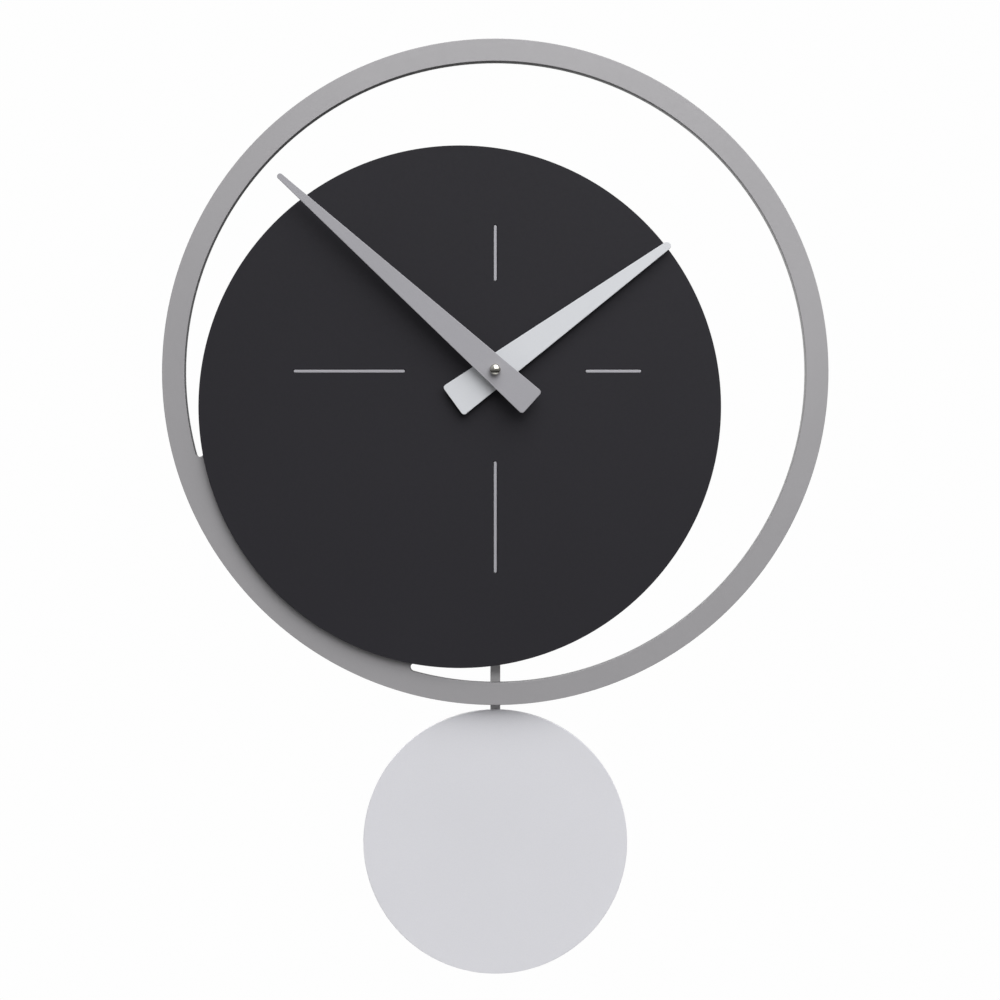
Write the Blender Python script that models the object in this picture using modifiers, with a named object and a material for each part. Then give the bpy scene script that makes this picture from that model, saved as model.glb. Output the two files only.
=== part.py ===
"""Pendulum wall clock.

A painted ring plate carries a dark dial disc, set off centre towards the lower left. Behind the
dial sits a battery movement: a stepping motor and a wheel train turn the hands, and a coil keeps a
rocker and its pendulum swinging.

Units are metres and +Z is up. The clock faces -Y. The origin is where the axis of the hand
spindle meets the wall. "Out" is the distance from the wall towards the viewer, so y = -out.
"""

from math import acos, asin, cos, degrees, pi, radians, sin, sqrt

import bmesh
import bpy
from mathutils import Vector

MM = 0.001
GAP = 0.3 * MM  # left between pieces that touch or run in each other

# Ring plate and dial
PLATE_RADIUS = 200.0 * MM
RIM_WIDTH = 13.5 * MM
PLATE_THICKNESS = 6.0 * MM
CRESCENT_END_RADIUS = 2.47 * MM
DIAL_RADIUS = 156.2 * MM
DIAL_THICKNESS = 4.0 * MM
DIAL_TO_RIM = 0.3 * MM  # where the dial comes nearest to the rim's inner edge
DIAL_DIRECTION = -135.0  # degrees, from the spindle towards the middle of the dial

# Hour marks: bars let into the dial, placed by shares of the dial
MARK_WIDTH = 1.7 * MM
MARK_START_SHARE = 0.3457  # of the dial's radius
SHORT_MARK_SHARE = 0.653  # of the way from the spindle to the dial's edge
LONG_MARK_SHARE = 0.6847

# Hands
HOUR_ANGLE = 54.0  # degrees clockwise from twelve
MINUTE_ANGLE = -48.03
HAND_THICKNESS = 1.0 * MM
HOUR_REACH, HOUR_TAIL = 128.6 * MM, 31.1 * MM
HOUR_TIP_WIDTH, HOUR_TAIL_WIDTH = 4.8 * MM, 21.2 * MM
MINUTE_REACH, MINUTE_TAIL = 172.8 * MM, 29.4 * MM
MINUTE_TIP_WIDTH, MINUTE_TAIL_WIDTH = 3.5 * MM, 17.7 * MM
HAND_CORNER = 2.0 * MM
HAND_SPACING = 5.2 * MM  # from the hour hand's front to the minute hand's back

# Spindle, from the middle outwards
ARBOR_RADIUS = 1.5 * MM
PIPE_WALL = 0.7 * MM
BUSH_WALL = 1.2 * MM
NUT_ACROSS_FLATS = 14.0 * MM
NUT_THICKNESS = 2.0 * MM
BRASS_WASHER_THICKNESS = 0.5 * MM
RUBBER_WASHER_THICKNESS = 0.7 * MM
CAP_RADIUS = 3.25 * MM
CAP_LENGTH = 4.5 * MM

# Pendulum
PENDULUM_LENGTH = 249.0 * MM  # from the rocker's pivot to the middle of the bob
BOB_RADIUS = 79.8 * MM
BOB_THICKNESS = 4.0 * MM
ROD_WIDTH = 6.0 * MM
ROD_THICKNESS = 2.0 * MM
ROD_PAST_MIDDLE = 25.0 * MM
PEG_RADIUS = 1.4 * MM
PEG_HEAD_RADIUS = 2.4 * MM
CLIP_LENGTH = 16.0 * MM
CLIP_MARGIN = 4.0 * MM  # of the clip on each side of the rod
CLIP_THICKNESS = 2.0 * MM
CLIP_SCREW_RADIUS, CLIP_SCREW_HEAD = 1.2 * MM, 2.6 * MM

# Movement case
CASE_WALL = 1.8 * MM
CASE_OUT = 23.4 * MM  # the case's front face
COVER_THICKNESS = 1.5 * MM
BATTERY_LENGTH = 50.0 * MM
BATTERY_RADIUS = 7.1 * MM
CONTACT_SPACE = 3.2 * MM
DRIVE_HEIGHT = 48.5 * MM  # of the pendulum drive's chamber
HANGER_THICKNESS = 1.0 * MM
HANGER_WIDTH = 30.0 * MM
HANGER_RISE = 25.0 * MM  # of the flange above the case
KEYHOLE_ENTRY = 4.5 * MM  # radius of the hole that a screw's head passes
KEYHOLE_SLOT = 4.4 * MM  # width of the slot that the screw rests in
KEYHOLE_RISE = 9.0 * MM  # of the entry above the bend, and of the slot's end above the entry
KNOB_RADIUS = 5.4 * MM
BOARD_THICKNESS = 0.8 * MM
CHIP_RADIUS, CHIP_THICKNESS = 3.5 * MM, 1.0 * MM
CRYSTAL_RADIUS, CRYSTAL_LENGTH = 1.0 * MM, 6.0 * MM
BATTERY_NUB_RADIUS, BATTERY_NUB_LENGTH = 2.7 * MM, 1.2 * MM
CONTACT_THICKNESS, CONTACT_WIDTH = 0.4 * MM, 8.0 * MM

# Wheel train: teeth of each wheel and of the pinion that drives or follows it
TRAIN_MODULE = 0.4 * MM
THIRD_MODULE = 0.875 * TRAIN_MODULE  # of the third wheel and the leaves that it drives
MOTION_MODULE = 0.6 * MM
ROTOR_LEAVES, INTERMEDIATE_TEETH = 6, 30
INTERMEDIATE_LEAVES, SECOND_TEETH = 6, 36
SECOND_LEAVES, THIRD_TEETH = 6, 48
THIRD_LEAVES, CENTRE_TEETH = 6, 45
CANNON_LEAVES, MINUTE_WHEEL_TEETH = 10, 30
MINUTE_WHEEL_LEAVES, HOUR_TEETH = 8, 32
SETTING_LEAVES = 10
PIVOT_RADIUS = 0.45 * MM
SHAFT_RADIUS = 0.7 * MM
PLATE_WEB = 1.0 * MM  # thickness of the plates that carry the pivots

# Stepping motor and pendulum drive
ROTOR_MAGNET_RADIUS = 2.8 * MM
STATOR_THICKNESS = 1.0 * MM
COIL_RADIUS = 3.2 * MM
ROCKER_OUT = 14.0 * MM
ROCKER_THICKNESS = 3.0 * MM
ROCKER_MAGNET_RADIUS = 4.0 * MM
DRIVE_COIL_RADIUS = 8.5 * MM
ROCKER_PIN_RADIUS = 0.75 * MM
HOOK_DROP = 4.0 * MM  # of the hook peg below the case

SMALL_ROUND, MEDIUM_ROUND, LARGE_ROUND = 16, 32, 160  # sides of round pieces

# Ways to lay a flat outline: its own x, y and z become
FACING = (pi / 2, 0, 0)  # +X, +Z and out
SIDEWAYS = (pi / 2, 0, -pi / 2)  # out, +Z and -X
LEVEL = (pi, 0, 0)  # +X, out and -Z
# Ways to lay a turned piece: its own axis points
TO_FRONT = (pi / 2, 0, 0)
TO_RIGHT = (0, pi / 2, 0)

SPINDLE = (0.0, 0.0)


# ---------------------------------------------------------------- scene and finishes


def clear_scene():
    for obj in list(bpy.data.objects):
        bpy.data.objects.remove(obj, do_unlink=True)


def new_collection(name):
    collection = bpy.data.collections.new(name)
    bpy.context.scene.collection.children.link(collection)
    return collection


def srgb(*levels):
    """A colour given as 0 to 255 display levels, as linear values with full alpha."""
    return (*((level / 255) ** 2.2 for level in levels), 1.0)


FINISHES = {
    "silver_paint": (srgb(163, 162, 166), 0.45, 0.0),
    "pale_paint": (srgb(211, 212, 216), 0.45, 0.0),
    "charcoal_paint": (srgb(47, 46, 51), 0.6, 0.0),
    "nickel": (srgb(200, 200, 204), 0.2, 1.0),
    "steel": (srgb(175, 177, 180), 0.35, 1.0),
    "brass": (srgb(196, 168, 98), 0.3, 1.0),
    "copper": (srgb(170, 92, 52), 0.4, 1.0),
    "black_plastic": (srgb(34, 34, 36), 0.5, 0.0),
    "white_plastic": (srgb(226, 224, 216), 0.45, 0.0),
    "black_rubber": (srgb(26, 26, 27), 0.85, 0.0),
    "magnet": (srgb(92, 92, 96), 0.3, 1.0),
    "circuit_board": (srgb(34, 92, 58), 0.5, 0.0),
    "battery_sleeve": (srgb(62, 84, 122), 0.35, 0.0),
}


def material(name):
    """The material of this finish, made the first time that it is asked for."""
    if name in bpy.data.materials:
        return bpy.data.materials[name]
    colour, roughness, metallic = FINISHES[name]
    made = bpy.data.materials.new(name)
    made.use_nodes = True
    shader = made.node_tree.nodes["Principled BSDF"]
    shader.inputs["Base Color"].default_value = colour
    shader.inputs["Roughness"].default_value = roughness
    shader.inputs["Metallic"].default_value = metallic
    return made


# ---------------------------------------------------------------- outlines


def polar(middle, radius, angle):
    """The point at this distance and angle in degrees from middle."""
    return (
        middle[0] + radius * cos(radians(angle)),
        middle[1] + radius * sin(radians(angle)),
    )


def arc(middle, radius, start, end, steps):
    """Points from angle start to angle end, in degrees, both ends included."""
    return [
        polar(middle, radius, start + (end - start) * i / steps)
        for i in range(steps + 1)
    ]


def circle(middle, radius, sides=SMALL_ROUND):
    return arc(middle, radius, 0, 360, sides)[:-1]


def rectangle(left, right, bottom, top):
    return [(left, bottom), (right, bottom), (right, top), (left, top)]


def stadium(start, end, width, steps=8):
    """A bar with round ends whose ends' centres are start and end."""
    heading = degrees(Vector((end[0] - start[0], end[1] - start[1])).angle_signed((1, 0)))
    return arc(end, width / 2, heading - 90, heading + 90, steps) + arc(
        start, width / 2, heading + 90, heading + 270, steps
    )


def beaded_bar(beads, width, steps=8):
    """An upright bar with a round boss at each (height, radius) in beads, from the lowest up."""
    right = []
    for i, (height, radius) in enumerate(beads):
        neck = 90 - degrees(asin(width / 2 / radius))
        start = -90 if i == 0 else -neck
        end = 90 if i == len(beads) - 1 else neck
        right += arc((0, height), radius, start, end, steps)
    left = [(-x, z) for x, z in reversed(right)]
    return right + left[1:-1]


def gear(teeth, module, phase):
    """A toothed outline round its own middle, with one tooth centred at phase degrees."""
    root, tip = module * (teeth / 2 - 1.05), module * (teeth / 2 + 0.7)
    pitch = 360 / teeth
    corners = ((-0.27, root), (-0.11, tip), (0.11, tip), (0.27, root))
    return [
        polar((0, 0), radius, phase + (i + share) * pitch)
        for i in range(teeth)
        for share, radius in corners
    ]


def tapered_hand(reach, tail, tip_width, tail_width, corner):
    """A hand that points up from the spindle: a straight taper with a round tip and a blunt tail."""
    tip, low = tip_width / 2, tail_width / 2
    side = degrees(asin((low - tip) / (reach + tail - tip)))
    right = arc((low - corner, corner - tail), corner, -90, side, 5)
    right += arc((0, reach - tip), tip, side, 90, 8)
    return right + [(-x, z) for x, z in reversed(right[:-1])]


# ---------------------------------------------------------------- solids


def placed(obj, name, finish, turn, middle):
    obj.name = obj.data.name = name
    obj.rotation_euler = turn
    obj.location = middle
    obj.data.materials.append(material(finish))
    if obj.name not in CLOCK.objects:
        CLOCK.objects.link(obj)
    return obj


def flat(name, outlines, finish, out, thickness, middle=SPINDLE, turn=FACING, spin=0.0):
    """A plate cut to the first outline, with the others as holes, whose back is out from the wall.

    Its outlines are drawn round middle, and spin turns it clockwise by that many degrees.
    """
    curve = bpy.data.curves.new(name, "CURVE")
    curve.dimensions, curve.fill_mode = "2D", "BOTH"
    curve.extrude = thickness / 2
    for outline in outlines:
        spline = curve.splines.new("POLY")
        spline.points.add(len(outline) - 1)
        spline.use_cyclic_u = True
        for point, (x, z) in zip(spline.points, outline):
            point.co = (x, z, 0, 1)
    where = (middle[0], -(out + thickness / 2), middle[1])
    spun = (turn[0], turn[1] + radians(spin), turn[2])
    return placed(bpy.data.objects.new(name, curve), name, finish, spun, where)


def strip(name, outline, finish, turn, width, middle=(0, 0, 0)):
    """A bent strip: the outline of its edge, drawn out to width on both sides of middle."""
    obj = flat(name, [outline], finish, 0, width, turn=turn)
    obj.location = middle
    return obj


def turned(name, profile, finish, middle=SPINDLE, turn=TO_FRONT, sides=SMALL_ROUND):
    """A turned piece. Its profile of (radius, out) runs down its outer side, and closes on itself
    unless it starts and ends on the axis."""
    mesh = bpy.data.meshes.new(name)
    edges = [(i, i + 1) for i in range(len(profile) - 1)]
    if profile[0][0] > 0:
        edges.append((len(profile) - 1, 0))
    mesh.from_pydata([(radius, 0, height) for radius, height in profile], edges, [])
    if len(middle) == 2:
        middle = (middle[0], 0, middle[1])
    obj = placed(bpy.data.objects.new(name, mesh), name, finish, turn, middle)
    screw = obj.modifiers.new("Turn", "SCREW")
    screw.steps = screw.render_steps = sides
    screw.use_merge_vertices = True
    screw.merge_threshold = 1e-5
    return obj


def shaft(name, radius, low, high, finish, middle=SPINDLE, turn=TO_FRONT, sides=SMALL_ROUND):
    profile = [(0, high), (radius, high), (radius, low), (0, low)]
    return turned(name, profile, finish, middle, turn, sides)


def tube(name, inner, outer, low, high, finish, middle=SPINDLE, turn=TO_FRONT, sides=SMALL_ROUND):
    profile = [(inner, high), (outer, high), (outer, low), (inner, low)]
    return turned(name, profile, finish, middle, turn, sides)


def block(name, across, out, up, finish):
    """A box between the (low, high) pairs across, out from the wall and up."""
    bpy.ops.mesh.primitive_cube_add(size=1)
    obj = bpy.context.object
    obj.users_collection[0].objects.unlink(obj)
    middle = (sum(across) / 2, -sum(out) / 2, sum(up) / 2)
    size = (across[1] - across[0], out[1] - out[0], up[1] - up[0])
    bmesh_scale(obj.data, size)
    return placed(obj, name, finish, (0, 0, 0), middle)


def bmesh_scale(mesh, size):
    form = bmesh.new()
    form.from_mesh(mesh)
    bmesh.ops.scale(form, vec=size, verts=form.verts)
    form.to_mesh(mesh)
    form.free()


def as_mesh(obj):
    """The same piece as a mesh, with its caps welded on, because a curve takes no Boolean."""
    if obj.type == "MESH":
        return obj
    bpy.context.view_layer.update()
    evaluated = obj.evaluated_get(bpy.context.evaluated_depsgraph_get())
    mesh = bpy.data.meshes.new_from_object(evaluated)
    form = bmesh.new()
    form.from_mesh(mesh)
    bmesh.ops.remove_doubles(form, verts=form.verts, dist=1e-6)
    form.to_mesh(mesh)
    form.free()
    name, world = obj.name, obj.matrix_world.copy()
    bpy.data.objects.remove(obj, do_unlink=True)
    solid = bpy.data.objects.new(name, mesh)
    solid.matrix_world = world
    CLOCK.objects.link(solid)
    return solid


def combine(obj, others, operation):
    """Joins the others to the piece, or cuts them from it, with a Boolean for each."""
    obj = as_mesh(obj)
    for other in others:
        other = as_mesh(other)
        boolean = obj.modifiers.new(other.name, "BOOLEAN")
        boolean.operation, boolean.object = operation, other
        other.hide_render, other.display_type = True, "WIRE"
        CLOCK.objects.unlink(other)
        TOOLS.objects.link(other)
    return obj


def joined(obj, *others):
    return combine(obj, others, "UNION")


def cut(obj, *others):
    return combine(obj, others, "DIFFERENCE")


def on_axis(name, middle, height, pieces):
    """Parents a moving body's pieces to an empty on its axis, leaving them where they are."""
    axis = bpy.data.objects.new(name, None)
    axis.empty_display_size = 0.01
    axis.location = (middle[0], 0, height)
    CLOCK.objects.link(axis)
    bpy.context.view_layer.update()
    for piece in pieces:
        piece.parent = axis
        piece.matrix_parent_inverse = axis.matrix_world.inverted()
    return axis


# ---------------------------------------------------------------- places worked out from the sizes


def tip_radius(teeth, module):
    return module * (teeth / 2 + 0.7)


def spacing(teeth, others, module):
    """Distance between two arbors whose wheels mesh."""
    return module * (teeth + others) / 2


def meshed(phase, teeth, others, direction):
    """Phase of a wheel that meshes with one of phase and teeth, and lies in direction from it."""
    return direction + 180 + 180 / others - (phase - direction) * teeth / others


# Distances out from the wall, from the back of the movement to its front
TRAIN_PLATE_OUT = 6.9 * MM
INTERMEDIATE_OUT = TRAIN_PLATE_OUT + PLATE_WEB + 1.0 * MM
SECOND_OUT = INTERMEDIATE_OUT + 1.6 * MM
THIRD_OUT = SECOND_OUT + 1.9 * MM
CENTRE_OUT = THIRD_OUT + 1.7 * MM
MIDDLE_PLATE_OUT = CENTRE_OUT + 1.5 * MM
CANNON_OUT = MIDDLE_PLATE_OUT + PLATE_WEB + GAP
MINUTE_WHEEL_OUT = CANNON_OUT + 0.4 * MM
HOUR_WHEEL_OUT = MINUTE_WHEEL_OUT + 1.6 * MM
WHEEL_WIDTH = 1.0 * MM
CASE_INSIDE = CASE_OUT - CASE_WALL

# Distances out from the wall, in front of the case
HANGER_OUT = CASE_OUT + GAP
RUBBER_OUT = HANGER_OUT + HANGER_THICKNESS + GAP
PLATE_OUT = RUBBER_OUT + RUBBER_WASHER_THICKNESS + GAP
DIAL_OUT = PLATE_OUT + PLATE_THICKNESS + GAP
DIAL_FACE = DIAL_OUT + DIAL_THICKNESS
BRASS_WASHER_OUT = DIAL_FACE + GAP
NUT_OUT = BRASS_WASHER_OUT + BRASS_WASHER_THICKNESS + GAP
BUSH_END = NUT_OUT + NUT_THICKNESS + GAP
HOUR_HAND_OUT = BUSH_END + 0.5 * MM
PIPE_END = HOUR_HAND_OUT + HAND_THICKNESS + 2.5 * MM
MINUTE_HAND_OUT = HOUR_HAND_OUT + HAND_THICKNESS + HAND_SPACING
CAP_OUT = MINUTE_HAND_OUT + HAND_THICKNESS + GAP
ARBOR_END = CAP_OUT + 2.8 * MM

PIPE_BORE = ARBOR_RADIUS + GAP
PIPE_RADIUS = PIPE_BORE + PIPE_WALL
BUSH_BORE = PIPE_RADIUS + GAP
BUSH_RADIUS = BUSH_BORE + BUSH_WALL
BUSH_HOLE = BUSH_RADIUS + GAP
BUSH_FLANGE = 0.8 * MM

# The dial, and how far its edge is from the spindle
DIAL_OFFSET = PLATE_RADIUS - RIM_WIDTH - DIAL_RADIUS - DIAL_TO_RIM
DIAL_MIDDLE = polar(SPINDLE, DIAL_OFFSET, DIAL_DIRECTION)


def dial_edge(angle):
    """Distance from the spindle to the dial's edge, in the direction of angle."""
    off = radians(angle - DIAL_DIRECTION)
    across = DIAL_OFFSET * sin(off)
    return DIAL_OFFSET * cos(off) + sqrt(DIAL_RADIUS**2 - across**2)


# Arbors of the motion works and the train
MINUTE_WHEEL_SIDE, SETTING_SIDE = 150.0, 160.0
MINUTE_WHEEL_AT = polar(
    SPINDLE, spacing(CANNON_LEAVES, MINUTE_WHEEL_TEETH, MOTION_MODULE), MINUTE_WHEEL_SIDE
)
SETTING_AT = polar(
    MINUTE_WHEEL_AT, spacing(MINUTE_WHEEL_TEETH, SETTING_LEAVES, MOTION_MODULE), SETTING_SIDE
)
HOUR_MODULE = spacing(CANNON_LEAVES, MINUTE_WHEEL_TEETH, MOTION_MODULE) / (
    (MINUTE_WHEEL_LEAVES + HOUR_TEETH) / 2
)
THIRD_SIDE, SECOND_SIDE, INTERMEDIATE_SIDE, ROTOR_SIDE = 55.0, 20.0, 110.0, 150.0
THIRD_AT = polar(SPINDLE, spacing(CENTRE_TEETH, THIRD_LEAVES, TRAIN_MODULE), THIRD_SIDE)
SECOND_AT = polar(THIRD_AT, spacing(THIRD_TEETH, SECOND_LEAVES, THIRD_MODULE), SECOND_SIDE)
INTERMEDIATE_AT = polar(
    SECOND_AT, spacing(SECOND_TEETH, INTERMEDIATE_LEAVES, TRAIN_MODULE), INTERMEDIATE_SIDE
)
ROTOR_AT = polar(
    INTERMEDIATE_AT, spacing(INTERMEDIATE_TEETH, ROTOR_LEAVES, TRAIN_MODULE), ROTOR_SIDE
)

# Stepping motor
STATOR_LOW = ROTOR_AT[1] - ROTOR_MAGNET_RADIUS - 0.9 * MM
STATOR_HIGH = ROTOR_AT[1] + ROTOR_MAGNET_RADIUS + 0.9 * MM
STATOR_RIGHT = INTERMEDIATE_AT[0] - SHAFT_RADIUS - 1.0 * MM
STATOR_LEFT = STATOR_RIGHT - 24.0 * MM
STATOR_LEG = 3.2 * MM
STATOR_OUT = THIRD_OUT - 0.1 * MM
CORE_OUT = STATOR_OUT + STATOR_THICKNESS + GAP
CORE_HEIGHT = 2.4 * MM
COIL_AT = STATOR_HIGH + COIL_RADIUS + 0.6 * MM

# Movement case: the chamber of the wheels, the battery bay and the pendulum drive's chamber
LARGEST_WHEEL = max(tip_radius(HOUR_TEETH, HOUR_MODULE), tip_radius(CENTRE_TEETH, TRAIN_MODULE))
CHAMBER_LOW = -LARGEST_WHEEL - 0.8 * MM
CHAMBER_HIGH = COIL_AT + COIL_RADIUS + 0.5 * MM
BAY_HIGH = CHAMBER_LOW - CASE_WALL
BAY_LOW = BAY_HIGH - 2 * BATTERY_RADIUS - 1.6 * MM
DRIVE_HIGH = BAY_LOW - CASE_WALL
DRIVE_LOW = DRIVE_HIGH - DRIVE_HEIGHT
CASE_LOW, CASE_HIGH = DRIVE_LOW - CASE_WALL, CHAMBER_HIGH + CASE_WALL
KNOB_REACH = KNOB_RADIUS + 2 * GAP - SETTING_AT[0]
INSIDE_HALF = max(BATTERY_LENGTH / 2 + CONTACT_SPACE, KNOB_REACH)
CASE_HALF = INSIDE_HALF + CASE_WALL
COVER_INSIDE = COVER_THICKNESS + GAP
BATTERY_OUT = COVER_INSIDE + BATTERY_RADIUS + 0.4 * MM

# Pendulum: heights of its pivot, magnet, hook and bob
PIVOT_HEIGHT = DRIVE_HIGH - 4.5 * MM
MAGNET_HEIGHT = PIVOT_HEIGHT - 24.0 * MM
PEG_HEIGHT = CASE_LOW - HOOK_DROP
BOB_HEIGHT = PIVOT_HEIGHT - PENDULUM_LENGTH
ROCKER_FRONT = ROCKER_OUT + ROCKER_THICKNESS
ROD_OUT = ROCKER_FRONT + GAP
ROD_FRONT = ROD_OUT + ROD_THICKNESS
BOB_OUT = ROD_FRONT + GAP


# ---------------------------------------------------------------- plate, dial and hands


def crescent():
    """The cut-out between the rim and the web behind the dial, with round ends."""
    rim, end = PLATE_RADIUS - RIM_WIDTH, CRESCENT_END_RADIUS
    to_rim, to_web = rim - end, DIAL_RADIUS + end
    off = degrees(
        acos((DIAL_OFFSET**2 + to_rim**2 - to_web**2) / (2 * DIAL_OFFSET * to_rim))
    )
    left, right = DIAL_DIRECTION - off, DIAL_DIRECTION + off
    ends = [polar(SPINDLE, to_rim, angle) for angle in (left, right)]
    web = [
        degrees(Vector((x - DIAL_MIDDLE[0], z - DIAL_MIDDLE[1])).angle_signed((1, 0)))
        for x, z in ends
    ]
    points = arc(SPINDLE, rim, right, left + 360, 110)
    points += arc(ends[0], end, left + 360, web[0] + 540, 8)[1:]
    points += arc(DIAL_MIDDLE, DIAL_RADIUS, web[0] + 360, web[1], 110)[1:]
    points += arc(ends[1], end, web[1] + 180, right, 8)[1:-1]
    return points


def make_ring_plate():
    outline = circle(SPINDLE, PLATE_RADIUS, LARGE_ROUND)
    hole = circle(SPINDLE, BUSH_HOLE, MEDIUM_ROUND)
    flat("ring_plate", [outline, crescent(), hole], "silver_paint", PLATE_OUT, PLATE_THICKNESS)


def marks():
    """Name, start and end of each hour mark."""
    start = DIAL_RADIUS * MARK_START_SHARE
    for hour, angle, share in (
        ("12", 90, SHORT_MARK_SHARE),
        ("3", 0, SHORT_MARK_SHARE),
        ("6", -90, LONG_MARK_SHARE),
        ("9", 180, LONG_MARK_SHARE),
    ):
        round_end = MARK_WIDTH / 2
        near = polar(SPINDLE, start + round_end, angle)
        yield f"mark_{hour}", near, polar(SPINDLE, dial_edge(angle) * share - round_end, angle)


def make_dial():
    outlines = [
        circle(DIAL_MIDDLE, DIAL_RADIUS, LARGE_ROUND),
        circle(SPINDLE, BUSH_HOLE, MEDIUM_ROUND),
    ]
    for name, near, far in marks():
        outlines.append(stadium(near, far, MARK_WIDTH + 2 * GAP))
        bar = stadium(near, far, MARK_WIDTH)
        flat(name, [bar], "silver_paint", DIAL_OUT, DIAL_THICKNESS)
    flat("dial_disc", outlines, "charcoal_paint", DIAL_OUT, DIAL_THICKNESS)


def make_hand(name, finish, out, bore, spin, sizes):
    outlines = [tapered_hand(*sizes, HAND_CORNER), circle(SPINDLE, bore, MEDIUM_ROUND)]
    return flat(name, outlines, finish, out, HAND_THICKNESS, spin=spin)


def make_clamping():
    """What holds the plate and the dial to the movement, from the case forwards."""
    flange = BUSH_RADIUS + 2.0 * MM
    seat = CASE_INSIDE - GAP
    profile = [
        (BUSH_BORE, BUSH_END),
        (BUSH_RADIUS, BUSH_END),
        (BUSH_RADIUS, seat),
        (flange, seat),
        (flange, seat - BUSH_FLANGE),
        (BUSH_BORE, seat - BUSH_FLANGE),
    ]
    turned("spindle_bush", profile, "brass", sides=MEDIUM_ROUND)
    washer = BUSH_RADIUS + 4.0 * MM
    for name, out, thickness, finish in (
        ("rubber_washer", RUBBER_OUT, RUBBER_WASHER_THICKNESS, "black_rubber"),
        ("brass_washer", BRASS_WASHER_OUT, BRASS_WASHER_THICKNESS, "brass"),
    ):
        tube(name, BUSH_HOLE, washer, out, out + thickness, finish, sides=MEDIUM_ROUND)
    corners = NUT_ACROSS_FLATS / sqrt(3)
    nut = [circle(SPINDLE, corners, 6), circle(SPINDLE, BUSH_HOLE, MEDIUM_ROUND)]
    flat("hex_nut", nut, "brass", NUT_OUT, NUT_THICKNESS)


def make_cap_nut():
    """A domed nut with a blind hole for the end of the arbor."""
    top = CAP_OUT + CAP_LENGTH
    shoulder = top - 0.6 * CAP_RADIUS
    dome = [
        (CAP_RADIUS * sin(radians(a)), shoulder + (top - shoulder) * cos(radians(a)))
        for a in range(0, 91, 15)
    ]
    bore = ARBOR_RADIUS + GAP
    profile = dome + [(CAP_RADIUS, CAP_OUT), (bore, CAP_OUT), (bore, ARBOR_END + GAP)]
    return turned("cap_nut", profile + [(0, ARBOR_END + GAP)], "nickel", sides=24)


def collet(name, bore, low, high):
    return tube(name, bore, bore + 1.1 * MM, low, high, "nickel", sides=24)


# ---------------------------------------------------------------- wheels


def toothed(name, teeth, module, phase, out, width, middle, finish="white_plastic"):
    return flat(name, [gear(teeth, module, phase)], finish, out, width, middle)


def train_arbor(name, middle):
    """An arbor between the two plates, with a thinner pivot through each."""
    low, high = TRAIN_PLATE_OUT + PLATE_WEB + GAP, MIDDLE_PLATE_OUT - GAP
    past = PLATE_WEB + 2 * GAP
    profile = [
        (0, high + past),
        (PIVOT_RADIUS, high + past),
        (PIVOT_RADIUS, high),
        (SHAFT_RADIUS, high),
        (SHAFT_RADIUS, low),
        (PIVOT_RADIUS, low),
        (PIVOT_RADIUS, low - past),
        (0, low - past),
    ]
    return turned(name, profile, "white_plastic", middle)


def wheel_with_pinion(name, middle, wheel, pinion):
    """A wheel moulded with its pinion and arbor. Wheel and pinion are (teeth, module, phase, out,
    width)."""
    body = toothed(name, *wheel, middle)
    leaves = toothed(f"{name}_pinion", *pinion, middle)
    return joined(body, leaves, train_arbor(f"{name}_arbor", middle))


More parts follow.
